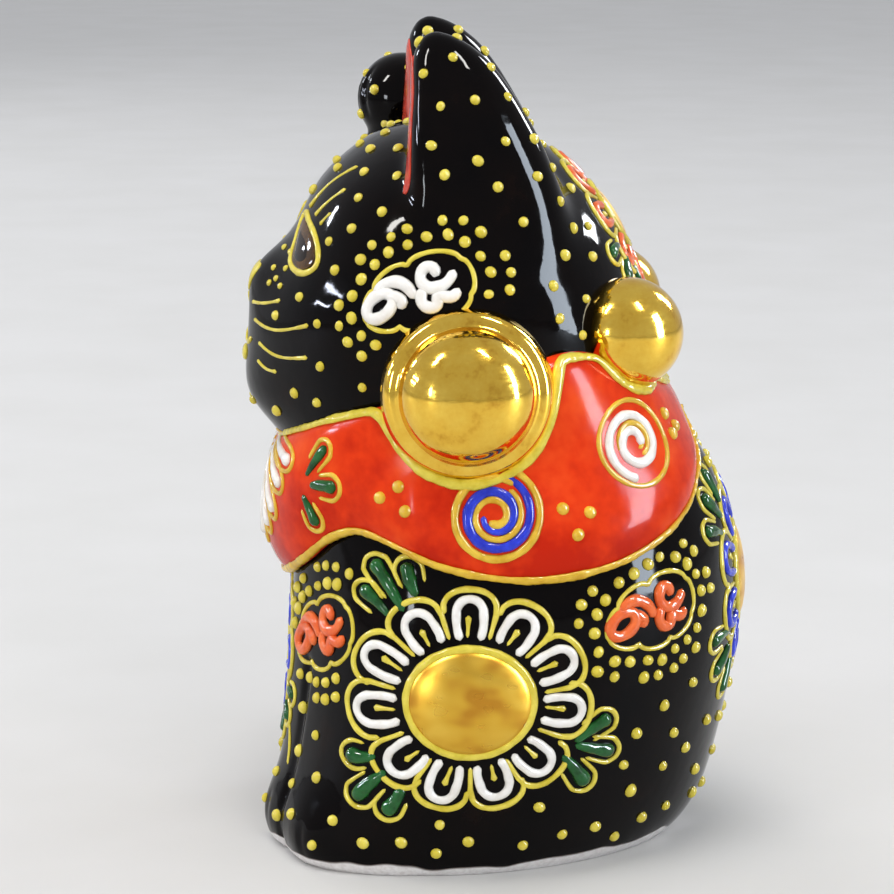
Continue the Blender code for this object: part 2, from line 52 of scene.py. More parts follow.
# Sections of the outer form: height, front, back, widest place along Y, half width,
# squareness of the front half and of the back half.
FORM_SECTIONS = (
    (0.0, -23.6, 33.4, -3.0, 29.8, 2.80, 1.90),
    (1.6, -24.4, 35.2, -2.5, 30.8, 2.80, 1.92),
    (5.0, -24.7, 37.4, -1.5, 31.8, 2.75, 1.95),
    (10.0, -24.2, 39.2, 0.0, 32.8, 2.65, 2.00),
    (17.0, -23.4, 40.9, 2.0, 33.8, 2.50, 2.00),
    (26.0, -22.8, 42.4, 4.0, 34.7, 2.40, 2.05),
    (35.0, -22.6, 42.9, 5.5, 34.8, 2.30, 2.10),
    (44.0, -22.5, 42.1, 6.0, 33.6, 2.20, 2.10),
    (51.0, -22.5, 40.2, 6.0, 31.3, 2.20, 2.10),
    (57.0, -22.7, 37.0, 5.0, 28.9, 2.20, 2.10),
    (62.0, -23.3, 33.6, 3.5, 28.2, 2.25, 2.10),
    (67.0, -24.0, 31.4, 2.0, 29.2, 2.30, 2.10),
    (73.0, -24.4, 30.2, 1.0, 30.4, 2.35, 2.10),
    (79.0, -24.2, 29.0, 0.5, 30.8, 2.35, 2.10),
    (85.0, -22.8, 27.0, 1.0, 30.0, 2.25, 2.05),
    (91.0, -20.8, 23.9, 0.8, 27.8, 2.15, 2.00),
    (96.2, -18.2, 19.8, 0.4, 24.2, 2.05, 2.00),
    (100.6, -13.6, 14.8, -0.2, 18.4, 2.00, 2.00),
    (103.6, -8.2, 8.6, -0.4, 10.8, 2.00, 2.00),
    (CROWN_HEIGHT, 0.0, 0.0, 0.0, 0.0, 2.00, 2.00),
)

# Soft swellings: centre, reach along X, Y and Z, and how far each stands out.
SWELLINGS = (
    ((0.0, -25.0, 73.0), (15.0, 20.0, 11.0), 4.5),      # muzzle
    ((0.0, -24.0, 82.0), (6.5, 12.0, 4.5), 2.2),        # nose
    ((0.0, -25.0, 65.0), (12.0, 12.0, 5.5), 2.4),       # chin
    ((10.5, -23.0, 20.0), (6.5, 10.0, 24.0), 1.0),      # lowered foreleg
    ((10.5, -24.0, 4.0), (7.0, 10.0, 6.0), 2.2),        # its paw
    ((24.0, -20.0, 4.0), (6.5, 8.0, 6.0), 2.2),         # left hind paw
    ((-24.0, -20.0, 4.0), (6.5, 8.0, 6.0), 2.2),        # right hind paw
    ((34.0, 0.0, 16.0), (12.0, 16.0, 14.0), 1.1),       # left haunch
    ((-34.0, 0.0, 16.0), (12.0, 16.0, 14.0), 1.1),      # right haunch
)

# Ear sections in the ear's own place: height, centre along X, half width, front, back, widest.
EAR_SECTIONS = (
    (86.0, 16.9, 10.4, -6.6, 18.6, -1.0),
    (93.0, 16.9, 10.2, -5.9, 17.0, -1.6),
    (99.0, 16.8, 9.5, -5.6, 14.9, -2.0),
    (105.0, 16.8, 8.1, -5.4, 11.8, -2.2),
    (110.0, 16.8, 6.4, -5.2, 8.8, -2.0),
    (114.4, 16.9, 4.3, -5.3, 5.4, -1.6),
    (117.4, 17.0, 2.1, -4.2, 1.4, -2.0),
    (118.5, 17.0, 0.0, -2.2, -2.2, -2.2),
)
EAR_TURN = 10.0

# Raised foreleg: centre of each section and its radius.
FORELEG_SECTIONS = (
    (-25.0, -8.6, 38.0, 8.2),
    (-29.5, -12.0, 48.0, 8.6),
    (-32.0, -15.2, 59.0, 8.0),
    (-32.6, -16.0, 71.0, 7.2),
    (-32.8, -13.0, 83.0, 6.4),
    (-33.2, -7.6, 93.5, 6.0),
    (-33.4, -4.0, 100.4, 6.5),
    (-33.2, -5.8, 104.7, 7.1),
)

# The bib, by bearing from straight ahead: height of its lower edge and of its upper edge.
BIB_AXIS_Y = 7.0
BIB_EDGES = (
    (0.0, 38.6, 59.4),
    (16.0, 39.6, 60.6),
    (33.0, 43.6, 63.0),
    (48.0, 48.4, 65.6),
    (60.0, 48.2, 67.4),
    (74.0, 45.4, 69.6),
    (92.0, 43.4, 72.4),
    (108.0, 43.8, 74.6),
    (124.0, 46.2, 73.0),
    (142.0, 51.2, 70.0),
    (157.0, 56.4, 68.0),
    (169.0, 60.4, 67.0),
    (180.0, 61.8, 66.6),
)
BIB_THICKNESS = 4.8
BIB_FULL_HEIGHT = 22.0
BIB_SINK = 2.0
EDGING_RISE = 0.02
EDGING_REACH = 0.8
BELL_CLEAR, BALL_CLEAR = 0.5, 0.4       # from the edging's middle line to a bell and to a ball

BELL_SEAT = (30.8, 1.9, 69.4)
BELL_LIFT = 4.0
BELL_BRIM = 11.9
BELL_OUTLINE = (
    (11.9, -10.0), (12.05, -1.4), (12.0, 0.4), (11.6, 1.7), (10.9, 2.5), (10.1, 2.75), (9.6, 3.1),
    (9.3, 3.9), (8.8, 5.2), (7.8, 6.7), (6.4, 7.9), (4.5, 8.8), (2.3, 9.4), (0.0, 9.6),
)
BALL_CENTRE = (18.4, 25.0, 76.0)
BALL_RADIUS = 7.9
BALL_AXIS = (0.5, 0.85, 0.1)

SKIN_GRAIN = 0.45               # side of the skin's facets
SKIN_WALL = 1.6
EARS_FROM = 84.0                # height below which nothing belongs to the ears
FAR = 50.0                      # height given to places that aren't measured
FOOT_STEP = 0.2                 # least height of anything above the foot's own edge
PATH_STEP = 0.35                # spacing of sections along a trailed line
SINK = 0.3                      # how deep enamel is bedded in the skin
STROKE_RISE = 0.42              # height of a trailed line as a share of its width
DOT_RISE = 0.82                 # height of a dot as a share of its radius
LOOK_FROM = 35.0                # distance from which a spot on the cat is looked at
LEAST = 1e-9                    # keeps a division by a length from failing

# Labels of the skin's facets.
BODY, HEAD, LEFT_EAR, RIGHT_EAR, FORELEG = range(5)
SIDES = ((1.0, "left"), (-1.0, "right"))

RNG = np.random.default_rng(41)
UP = Vector((0.0, 0.0, 1.0))
FULL_TURN = 2.0 * math.pi


# ---------------------------------------------------------------- curves and sections

def unit(vectors):
    """Vectors, along the last axis, at length one."""
    return vectors / np.maximum(np.linalg.norm(vectors, axis=-1, keepdims=True), LEAST)


def round_angles(count):
    """Even angles once round, in radians."""
    return np.linspace(0.0, FULL_TURN, count, endpoint=False)


def on_side(point, side):
    """A left-hand place, or its mirror image when side is -1."""
    return np.array(point) * (side, 1.0, 1.0)


def curve_through(rows, at):
    """Natural cubic spline through evenly numbered rows, read at the given row numbers."""
    rows = np.asarray(rows, float)
    count = len(rows)
    matrix = np.eye(count)
    right = np.zeros_like(rows)
    for index in range(1, count - 1):
        matrix[index, index - 1:index + 2] = (1.0, 4.0, 1.0)
        right[index] = 6.0 * (rows[index - 1] - 2.0 * rows[index] + rows[index + 1])
    bend = np.linalg.solve(matrix, right)
    at = np.asarray(at, float)
    low = np.clip(at.astype(int), 0, count - 2)
    part = (at - low)[:, None]
    rest = 1.0 - part
    return (rest * rows[low] + part * rows[low + 1]
            + ((rest ** 3 - rest) * bend[low] + (part ** 3 - part) * bend[low + 1]) / 6.0)


def curve_points(corners, count):
    """Points on a soft curve through the corners."""
    return curve_through(corners, np.linspace(0.0, len(corners) - 1, count))


def dome_curve(sections, front, back, width, count):
    """Sections read off a spline that closes as a dome: its last rows are repeated past the pole."""
    rows = [list(row) for row in sections]
    for row in (rows[-2], rows[-3]):
        past = list(row)
        past[front], past[back] = row[back], row[front]
        past[width] = -row[width]
        rows.append(past)
    return curve_through(rows, np.linspace(0.0, len(sections) - 1, count))


def section_points(front, back, widest, width, front_power, back_power, angles):
    """X and Y of one level section, a superellipse with its own front and back halves."""
    cosine, sine = np.cos(angles), np.sin(angles)
    power = np.where(sine < 0.0, front_power, back_power)
    depth = np.where(sine < 0.0, widest - front, back - widest)
    x = width * np.sign(cosine) * np.abs(cosine) ** (2.0 / power)
    y = widest + depth * np.sign(sine) * np.abs(sine) ** (2.0 / power)
    return x, y


def form_grid(rings, sides):
    """Rings of points on the form, foot to crown."""
    grid = []
    for row in dome_curve(FORM_SECTIONS, 1, 2, 4, rings)[:-1]:
        x, y = section_points(*row[1:], round_angles(sides))
        grid.append(np.column_stack((x, y, np.full(sides, row[0]))))
    return np.array(grid)


def swell(grid):
    """Push points outward over each swelling's soft reach."""
    around = np.roll(grid, -1, axis=1) - np.roll(grid, 1, axis=1)
    normals = unit(np.cross(around, np.gradient(grid, axis=0)))
    push = np.zeros(grid.shape[:2])
    for centre, reach, height in SWELLINGS:
        away = (grid - np.array(centre)) / np.array(reach)
        push += height * np.exp(-np.sum(away ** 2, axis=2))
    return grid + normals * push[..., None]


def loft(grid, bottom=None, top=None):
    """Points and faces of a closed solid through rings, with a fan at each end."""
    rings, sides = grid.shape[:2]
    bottom = grid[0].mean(axis=0) if bottom is None else bottom
    top = grid[-1].mean(axis=0) if top is None else top
    points = np.vstack((grid.reshape(-1, 3), bottom, top))
    faces = []
    for ring in range(rings - 1):
        for side in range(sides):
            after = (side + 1) % sides
            low, high = ring * sides, (ring + 1) * sides
            faces.append((low + side, low + after, high + after, high + side))
    last = (rings - 1) * sides
    for side in range(sides):
        after = (side + 1) % sides
        faces.append((after, side, len(points) - 2))
        faces.append((last + side, last + after, len(points) - 1))
    return points, faces


def outer_form():
    """Body and head as one closed solid."""
    grid = swell(form_grid(200, 200))
    grid[1:, :, 2] = np.maximum(grid[1:, :, 2], FOOT_STEP)
    grid[0, :, 2] = 0.0
    crown = (0.0, FORM_SECTIONS[-1][1], CROWN_HEIGHT)
    return loft(grid, (0.0, BIB_AXIS_Y, 0.0), crown)


def ear_form(side):
    """One ear: a cone of D-shaped sections, its flatter face to the front."""
    angles = round_angles(72)
    turn = math.radians(-EAR_TURN)
    grid = []
    for height, centre, width, front, back, widest in dome_curve(EAR_SECTIONS, 3, 4, 2, 60)[:-1]:
        x, y = section_points(front, back, widest, width, 2.4, 2.0, angles)
        turned_x = centre + math.cos(turn) * x - math.sin(turn) * y
        turned_y = math.sin(turn) * x + math.cos(turn) * y
        grid.append(np.column_stack((turned_x, turned_y, np.full(len(angles), height))))
    tip = EAR_SECTIONS[-1]
    points, faces = loft(np.array(grid), top=(tip[1], tip[3], tip[0]))
    if side < 0:
        points = points * (-1.0, 1.0, 1.0)
        faces = [tuple(reversed(face)) for face in faces]
    return points, faces


def round_section(centre, axis, radius, turns):
    """A circle of points about an axis."""
    first = unit(np.cross(axis, (0.0, -1.0, 0.0)))
    second = np.cross(axis, first)
    return centre + radius * (np.outer(np.cos(turns), first) + np.outer(np.sin(turns), second))


def foreleg_form():
    """The raised foreleg: round sections square to its curve, ending in a round paw."""
    rows = curve_points(FORELEG_SECTIONS, 60)
    centres, radii = rows[:, :3], rows[:, 3]
    along = unit(np.gradient(centres, axis=0))
    turns = round_angles(48)
    grid = [round_section(*row, turns) for row in zip(centres, along, radii)]
    for lift in np.radians(np.arange(8.0, 90.0, 8.0)):
        rise, narrow = radii[-1] * math.sin(lift), radii[-1] * math.cos(lift)
        grid.append(round_section(centres[-1] + rise * along[-1], along[-1], narrow, turns))
    return loft(np.array(grid), top=centres[-1] + radii[-1] * along[-1])


# ---------------------------------------------------------------- pieces

def new_piece(name, points, faces, materials, normals=None, slot=None, replaces=()):
    """One named piece of the cat from millimetre points, riding on the CAD's only body."""
    mesh = bpy.data.meshes.new(name)
    mesh.from_pydata((np.asarray(points) * MM).tolist(), [], [list(map(int, face)) for face in faces])
    mesh.shade_smooth()
    if normals is not None:
        mesh.normals_split_custom_set_from_vertices(normals.tolist())
    for material in materials:
        mesh.materials.append(material)
    piece = bpy.data.objects.new(name, mesh)
    bpy.context.scene.collection.objects.link(piece)
    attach(piece, "root")
    if replaces:
        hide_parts(*replaces)
    return piece


def joined(solids):
    """Several solids as one list of points and one of faces."""
    points, faces, start = [], [], 0
    for solid_points, solid_faces in solids:
        points.append(solid_points)
        faces += [tuple(start + index for index in face) for face in solid_faces]
        start += len(solid_points)
    return np.vstack(points), faces


def regrained(points, faces, grain):
    """The solids fused into one skin of even four-sided facets."""
    mesh = bpy.data.meshes.new("skin_source")
    mesh.from_pydata(points.tolist(), [], faces)
    source = bpy.data.objects.new("skin_source", mesh)
    bpy.context.scene.collection.objects.link(source)
    modifier = source.modifiers.new("grain", 'REMESH')
    modifier.mode = 'VOXEL'
    modifier.voxel_size = grain
    bpy.context.view_layer.update()
    result = source.evaluated_get(bpy.context.evaluated_depsgraph_get()).to_mesh()
    fine = np.empty(3 * len(result.vertices))
    result.vertices.foreach_get("co", fine)
    corners = np.empty(len(result.loops), int)
    result.loops.foreach_get("vertex_index", corners)
    if len(corners) != 4 * len(result.polygons):
        raise RuntimeError("the regrained skin has facets that aren't four-sided")
    bpy.data.objects.remove(source)
    return fine.reshape(-1, 3), corners.reshape(-1, 4)


def facet_edges(quads):
    """Each edge's two points, and the two facets beside it."""
    pairs = np.sort(np.vstack([quads[:, [k, (k + 1) % 4]] for k in range(4)]), axis=1)
    owner = np.tile(np.arange(len(quads)), 4)
    order = np.lexsort((pairs[:, 1], pairs[:, 0]))
    pairs, owner = pairs[order], owner[order]
    return pairs[::2], np.column_stack((owner[::2], owner[1::2]))


def relaxed(points, edges, weight, rounds):
    """Points drawn towards the middle of their neighbours."""
    count = len(points)
    degree = np.bincount(edges.ravel(), minlength=count)[:, None]
    for _ in range(rounds):
        total = np.empty_like(points)
        for axis in range(3):
            values = points[:, axis]
            total[:, axis] = (np.bincount(edges[:, 0], values[edges[:, 1]], count)
                              + np.bincount(edges[:, 1], values[edges[:, 0]], count))
        points = points + weight[:, None] * (total / degree - points)
    return points


def point_normals(points, quads):
    """Outward unit normals of the skin's points."""
    one, two, three, four = (points[quads[:, corner]] for corner in range(4))
    area = np.cross(three - one, four - two)
    total = np.zeros_like(points)
    for corner in range(4):
        for axis in range(3):
            total[:, axis] += np.bincount(quads[:, corner], area[:, axis], len(points))
    return unit(total)


def tree_of(points, faces):
    """A search tree over a solid's faces."""
    return BVHTree.FromPolygons([Vector(point) for point in points], [list(face) for face in faces])


def rise_above(tree, points, chosen):
    """Height of the chosen points above a solid, negative inside it."""
    rise = np.full(len(points), FAR)
    for index in np.nonzero(chosen)[0]:
        place = Vector(points[index])
        near, normal, _, distance = tree.find_nearest(place)
        rise[index] = math.copysign(distance, (place - near).dot(normal))
    return rise


def soft_step(values):
    """Values from 0 to 1, easing in and out."""
    values = np.clip(values, 0.0, 1.0)
    return values * values * (3.0 - 2.0 * values)


# Fine grooves of the casting: points along each groove, its half width and its depth.
GROOVES = (
    (((7.6, -27.5, 0.5), (8.0, -28.2, 3.5), (8.4, -27.4, 7.5)), 0.7, 0.6),
    (((13.4, -27.0, 0.5), (13.0, -27.6, 3.5), (12.6, -27.0, 7.5)), 0.7, 0.6),
    (((20.6, -24.5, 0.5), (20.9, -25.3, 3.0), (21.2, -25.0, 6.0)), 0.7, 0.6),
    (((26.0, -21.5, 0.5), (25.9, -22.3, 3.0), (25.6, -22.3, 6.0)), 0.7, 0.6),
    (((-20.6, -24.5, 0.5), (-20.9, -25.3, 3.0), (-21.2, -25.0, 6.0)), 0.7, 0.6),
    (((-26.0, -21.5, 0.5), (-25.9, -22.3, 3.0), (-25.6, -22.3, 6.0)), 0.7, 0.6),
    (((17.2, -24.2, 0.0), (17.0, -23.8, 9.0), (17.6, -22.0, 20.0), (18.0, -20.8, 28.0)), 0.9, 0.7),
    (((3.2, -25.0, 0.0), (3.0, -24.2, 9.0), (3.4, -23.4, 20.0), (4.2, -23.0, 28.0)), 0.9, 0.6),
    (((-17.2, -24.2, 0.0), (-16.6, -23.8, 7.0), (-14.0, -23.4, 12.0)), 0.9, 0.6),
    (((-35.6, -11.6, 103.0), (-35.2, -12.2, 106.5), (-34.6, -11.0, 110.0)), 0.6, 0.5),
    (((-32.6, -12.2, 103.0), (-32.6, -12.8, 106.5), (-32.6, -11.4, 110.0)), 0.6, 0.5),
    (((-29.6, -11.0, 103.0), (-30.0, -11.8, 106.5), (-30.6, -10.8, 110.0)), 0.6, 0.5),
    (((0.0, -27.6, 79.6), (0.0, -29.0, 77.0), (0.0, -29.2, 74.6)), 0.6, 0.5),
)


def carved(points, quads):
    """The skin with the casting's grooves pressed in."""
    normals = point_normals(points, quads)
    depth = np.zeros(len(points))
    for corners, half_width, deep in GROOVES:
        line = curve_points(corners, 40)
        near = np.all((points > line.min(axis=0) - 5.0) & (points < line.max(axis=0) + 5.0), axis=1)
        index = np.nonzero(near)[0]
        away = np.linalg.norm(points[index, None] - line[None], axis=2).min(axis=1)
        depth[index] = np.maximum(depth[index], deep * np.exp(-(away / half_width) ** 2))
    return points - normals * depth[:, None]


def build_skin():
    """The fused skin: points, normals, facets and which piece each facet belongs to."""
    form, left_ear, right_ear, leg = outer_form(), ear_form(1), ear_form(-1), foreleg_form()
    points, quads = regrained(*joined((form, left_ear, right_ear, leg)), SKIN_GRAIN)
    edges, beside = facet_edges(quads)
    points = relaxed(points, edges, np.full(len(points), 0.5), 14)

    near_ears = points[:, 2] > EARS_FROM
    near_leg = (points[:, 0] < -15.0) & (points[:, 2] > 26.0) & (points[:, 1] < 8.0)
    over_form = rise_above(tree_of(*form), points, near_ears | near_leg)
    over_ears = np.minimum(rise_above(tree_of(*left_ear), points, near_ears & (points[:, 0] > 0.0)),
                           rise_above(tree_of(*right_ear), points, near_ears & (points[:, 0] < 0.0)))
    over_leg = rise_above(tree_of(*leg), points, near_leg)

    ear_crease = soft_step(1.0 - np.maximum(np.abs(over_form), np.abs(over_ears)) / 6.0)
    ear_crease *= 0.25 + 0.75 * soft_step((points[:, 1] + 6.0) / 8.0)
    leg_crease = soft_step(1.0 - np.maximum(np.abs(over_form), np.abs(over_leg)) / 3.5)
    points = relaxed(points, edges, 0.5 * np.maximum(ear_crease, leg_crease), 150)
    points = relaxed(carved(points, quads), edges, np.full(len(points), 0.4), 2)
    # The foot is pressed flat again, as drawing points together rounds its edge.
    points[points[:, 2] < 0.3, 2] *= 0.2
    points[:, 2] -= points[:, 2].min()

    ear = np.where(points[:, 0] > 0.0, LEFT_EAR, RIGHT_EAR)
    limb = np.where(np.abs(over_leg) < np.abs(over_ears), FORELEG, ear)
    seam = SEAM_HEIGHT + SEAM_SLOPE * points[:, 1]
    trunk = np.where(points[:, 2] > seam, HEAD, BODY)
    at_limb = (over_form > 0.8) & (over_form < FAR - 1.0)
    of_point = np.where(at_limb, limb, trunk)
    labels = np.sort(of_point[quads], axis=1)[:, 2]
    labels = settled(labels, quads, edges, beside)
    return points, point_normals(points, quads), quads, labels


def settled(labels, quads, edges, beside):
    """Labels without specks, and without two parts of a piece that meet only at a point."""
    for _ in range(6):
        votes = np.zeros((len(labels), 5))
        np.add.at(votes, (beside[:, 0], labels[beside[:, 1]]), 1.0)
        np.add.at(votes, (beside[:, 1], labels[beside[:, 0]]), 1.0)
        winner = votes.argmax(axis=1)
        labels = np.where(votes.max(axis=1) >= 3.0, winner, labels)
    for _ in range(40):
        borders = labels[beside[:, 0]] != labels[beside[:, 1]]
        meeting = np.bincount(edges[borders].ravel(), minlength=edges.max() + 1)
        pinched = np.nonzero(meeting > 3)[0]
        if not len(pinched):
            break
        for point in pinched:
            here = np.nonzero(np.any(quads == point, axis=1))[0]
            labels[here] = np.bincount(labels[here]).argmax()
    return labels


def border_edges(faces):
    """Directed edges that only one face has."""
    directed = np.vstack([faces[:, [k, (k + 1) % 4]] for k in range(4)])
    size = int(faces.max()) + 1
    keys = directed[:, 0] * size + directed[:, 1]
    reverse = directed[:, 1] * size + directed[:, 0]
    return directed[~np.isin(keys, reverse)]


def skin_piece(name, skin, chosen, materials, wall=None, **facts):
    """One closed piece of the skin: a shell of the wall's thickness, or capped where it joins."""
    points, normals, quads, _ = skin
    used, faces = np.unique(quads[chosen], return_inverse=True)
    faces = faces.reshape(-1, 4)
    outer, out = points[used], normals[used]
    borders = border_edges(faces)
    count = len(outer)
    if wall:
        all_points = np.vstack((outer, outer - wall * out))
        all_normals = np.vstack((out, -out))
        here, after = borders.T
        rim = np.column_stack((after, here, here + count, after + count))
        extra = list(faces[:, ::-1] + count) + list(rim)
    else:
        all_points, all_normals, extra = [outer], [out], []
        for number, loop in enumerate(border_loops(borders)):
            all_points.append(outer[loop].mean(axis=0)[None])
            all_normals.append(-out[loop].mean(axis=0)[None])
            extra += [(after, here, count + number) for here, after in zip(loop, loop[1:] + loop[:1])]
        all_points, all_normals = np.vstack(all_points), np.vstack(all_normals)
    piece = new_piece(name, all_points, list(faces) + extra, materials, all_normals,
                      slot="black_glaze", **facts)
    index = np.zeros(len(faces) + len(extra), int)
    index[len(faces):] = len(materials) - 1
    piece.data.polygons.foreach_set("material_index", index)
    return piece


def border_loops(borders):
    """Border edges chained into closed loops."""
    after = {int(a): int(b) for a, b in borders}
    loops = []
    while after:
        start = next(iter(after))
        loop, here = [start], after.pop(start)
        while here != start:
            loop.append(here)
            here = after.pop(here)
        loops.append(loop)
    return loops


def open_vent(skin):
    """Facets over the vent are marked as no piece's, and the hole's edge is made round."""
    points, _, quads, labels = skin
    away = np.linalg.norm(points[:, :2] - VENT_AT, axis=1)
    inside = (away < VENT_RADIUS) & (points[:, 2] < 1.0)
    labels[np.all(inside[quads], axis=1)] = -1
    dropped = np.unique(quads[labels == -1])
    kept = np.unique(quads[labels != -1])
    rim = np.intersect1d(dropped, kept)
    direction = (points[rim, :2] - VENT_AT) / away[rim][:, None]
    points[rim, :2] = VENT_AT + VENT_RADIUS * direction


# ---------------------------------------------------------------- bib

FORM_TABLE = dome_curve(FORM_SECTIONS, 1, 2, 4, 300)
BEARING_COUNT = 721
BEARINGS = np.linspace(-math.pi, math.pi, BEARING_COUNT)


def bearing_grids():
    """X and Y of the form at every table height and bearing."""
    angles = np.linspace(-math.pi / 2.0, 1.5 * math.pi, BEARING_COUNT)
    grids = []
    for row in FORM_TABLE[:, 1:]:
        x, y = section_points(*row, angles)
        turned = np.unwrap(np.arctan2(x, BIB_AXIS_Y - y))
        wrapped = np.concatenate((turned - FULL_TURN, turned))
        grids.append([np.interp(BEARINGS, wrapped, np.tile(values, 2)) for values in (x, y)])
    return np.array(grids).transpose(1, 0, 2)


FORM_X, FORM_Y = bearing_grids()


def form_points(bearings, heights):
    """Points of the form, and level outward directions, at bearings and heights."""
    bearings = (np.asarray(bearings) + math.pi) % FULL_TURN - math.pi
    rows = np.interp(heights, FORM_TABLE[:, 0], np.arange(len(FORM_TABLE)))
    low = np.clip(rows.astype(int), 0, len(FORM_TABLE) - 2)
    part = rows - low

    def place(at):
        """X and Y between the table's rows and bearings."""
        at = (at + math.pi) % FULL_TURN / FULL_TURN * (BEARING_COUNT - 1)
        near = np.clip(at.astype(int), 0, BEARING_COUNT - 2)
        share = at - near
        flat = []
        for grid in (FORM_X, FORM_Y):
            lower = grid[low, near] * (1 - share) + grid[low, near + 1] * share
            upper = grid[low + 1, near] * (1 - share) + grid[low + 1, near + 1] * share
            flat.append(lower * (1 - part) + upper * part)
        return np.column_stack(flat)

    here = place(bearings)
    ahead = place(bearings + 0.02) - here
    outward = unit(np.column_stack((ahead[:, 1], -ahead[:, 0], np.zeros(len(here)))))
    return np.column_stack((here, heights)), outward


def bib_edges(bearings):
    """Heights of the bib's lower and upper edge, the same on both sides."""
    table = np.array(BIB_EDGES)
    mirrored = np.vstack((table[1:][::-1] * (-1.0, 1.0, 1.0), table))
    turned = np.degrees(np.asarray(bearings) + math.pi) % 360.0 - 180.0
    at = np.interp(turned, mirrored[:, 0], np.arange(len(mirrored)))
    rows = curve_through(mirrored, at)
    return rows[:, 1], rows[:, 2]


def bib_points(bearings, rise, offset=0.0):
    """Points on the bib's outer face, from its lower edge at rise 0 to its upper edge at 1."""
    lower, upper = bib_edges(bearings)
    place, outward = form_points(bearings, lower + (upper - lower) * rise)
    full = np.minimum(1.0, (upper - lower) / BIB_FULL_HEIGHT)
    bulge = np.maximum(0.0, np.sin(math.pi * np.asarray(rise))) ** 0.5
    wander = 1.0 + 0.03 * np.sin(5.0 * bearings + 7.0 * np.asarray(rise))
    wander += 0.02 * np.sin(11.0 * bearings)
    thickness = BIB_THICKNESS * full * bulge * wander + offset
    return place + thickness[:, None] * outward


def bib_grid():
    """Rings of points round the bib's section, all the way round the neck."""
    bearings = np.linspace(-math.pi, math.pi, 420, endpoint=False)
    rises = 0.5 - 0.5 * np.cos(np.linspace(0.0, math.pi, 44))
    loops = [bib_points(bearings, np.full(len(bearings), rise)) for rise in rises]
    loops += [bib_points(bearings, np.full(len(bearings), rise), -BIB_SINK - BIB_THICKNESS)
              for rise in (0.9, 0.5, 0.1)]
    return np.array(loops).transpose(1, 0, 2)


def ring_faces(grid):
    """Faces of a closed loop of closed sections."""
    rings, around = grid.shape[:2]
    index = np.arange(rings * around).reshape(rings, around)
    ahead = np.roll(index, -1, axis=0)
    corners = (index, ahead, np.roll(ahead, -1, axis=1), np.roll(index, -1, axis=1))
    return np.stack(corners, axis=2).reshape(-1, 4)


# ---------------------------------------------------------------- places on the cat

class Surface:
    """Everything that enamel can be laid on."""

    def __init__(self, points, normals, faces):
        self.normals = normals
        self.faces = faces
        self.tree = tree_of(points, faces)

    def normal_at(self, face):
        """The smooth outward direction at a face."""
        return unit(self.normals[self.faces[face]].mean(axis=0))

    def nearest(self, point):
        """The place nearest to a point, and its outward direction."""
        place, _, face, _ = self.tree.find_nearest(Vector(point))
        return np.array(place), self.normal_at(face)


class Spot:
    """A place on the cat looked at squarely, with flat coordinates across and up in millimetres."""

    def __init__(self, centre, looked, side=1.0, roll=0.0):
        mirror = Vector((side, 1.0, 1.0))
        looked = Vector(looked).normalized()
        across = looked.cross(UP).normalized()
        up = across.cross(looked).normalized()
        turn = math.radians(roll)
        self.across = (math.cos(turn) * across + math.sin(turn) * up) * mirror
        self.up = (math.cos(turn) * up - math.sin(turn) * across) * mirror
        self.looked = looked * mirror
        self.start = Vector(centre) * mirror - self.looked * LOOK_FROM

    def land(self, flat):
        """Places on the cat, and normals, for flat points."""
        places, normals = [], []
        for u, v in flat:
            origin = self.start + self.across * float(u) + self.up * float(v)
            hit, _, face, _ = SURFACE.tree.ray_cast(origin, self.looked)
            if hit is None:
                hit, _, face, _ = SURFACE.tree.find_nearest(origin + self.looked * LOOK_FROM)
            places.append(hit)
            normals.append(SURFACE.normal_at(face))
        return np.array(places), np.array(normals)


def travelled_along(path):
    """Distance from a line's start to each of its points."""
    return np.concatenate(([0.0], np.cumsum(np.linalg.norm(np.diff(path, axis=0), axis=1))))


def even_steps(path, closed=False, step=PATH_STEP):
    """Points at even steps along a line."""
    path = np.asarray(path, float)
    if closed:
        path = np.vstack((path, path[:1]))
    travelled = travelled_along(path)
    count = max(4, int(round(travelled[-1] / step)) + 1)
    at = np.linspace(0.0, travelled[-1], count)
    steps = np.column_stack([np.interp(at, travelled, path[:, axis]) for axis in range(path.shape[1])])
    return steps[:-1] if closed else steps


def soft_path(corners, closed=False):
    """A soft curve through the corners."""
    corners = np.asarray(corners, float)
    count = len(corners)
    if closed:
        corners = np.vstack((corners[-3:], corners, corners[:3]))
        return curve_through(corners, np.linspace(3.0, 3.0 + count, 16 * count, endpoint=False))
    return curve_points(corners, 16 * count)


def flat_points(centre, across, up, angles):
    """Flat points at a reach across and up from a centre, at angles in radians."""
    return np.column_stack((centre[0] + across * np.cos(angles), centre[1] + up * np.sin(angles)))


def arc(centre, radii, start, end):
    """Points along an elliptic arc, angles in degrees."""
    steps = np.radians(np.linspace(start, end, max(6, int(abs(end - start) / 6.0))))
    return flat_points(centre, *radii, steps)


def spiral(centre, outer, inner, start, turns):
    """Points along a flat spiral from its outer end, turning clockwise if turns is negative."""
    part = np.linspace(0.0, 1.0, int(abs(turns) * 48))
    angle = math.radians(start) + FULL_TURN * turns * part
    radius = outer + (inner - outer) * part
    return flat_points(centre, radius, radius, angle)


def lobed(corners, bulge):
    """A closed outline whose stretches between corners bulge outwards as round lobes."""
    corners = np.asarray(corners, float)
    middle = corners.mean(axis=0)
    path = []
    for here, there in zip(corners, np.roll(corners, -1, axis=0)):
        chord = there - here
        side = np.array((chord[1], -chord[0]))
        side *= np.sign(np.dot(side, (here + there) / 2.0 - middle))
        for part in np.linspace(0.0, 1.0, 14, endpoint=False):
            lift = (4.0 * part * (1.0 - part)) ** 0.6
            path.append(here + chord * part + side * bulge * lift)
    return np.array(path)


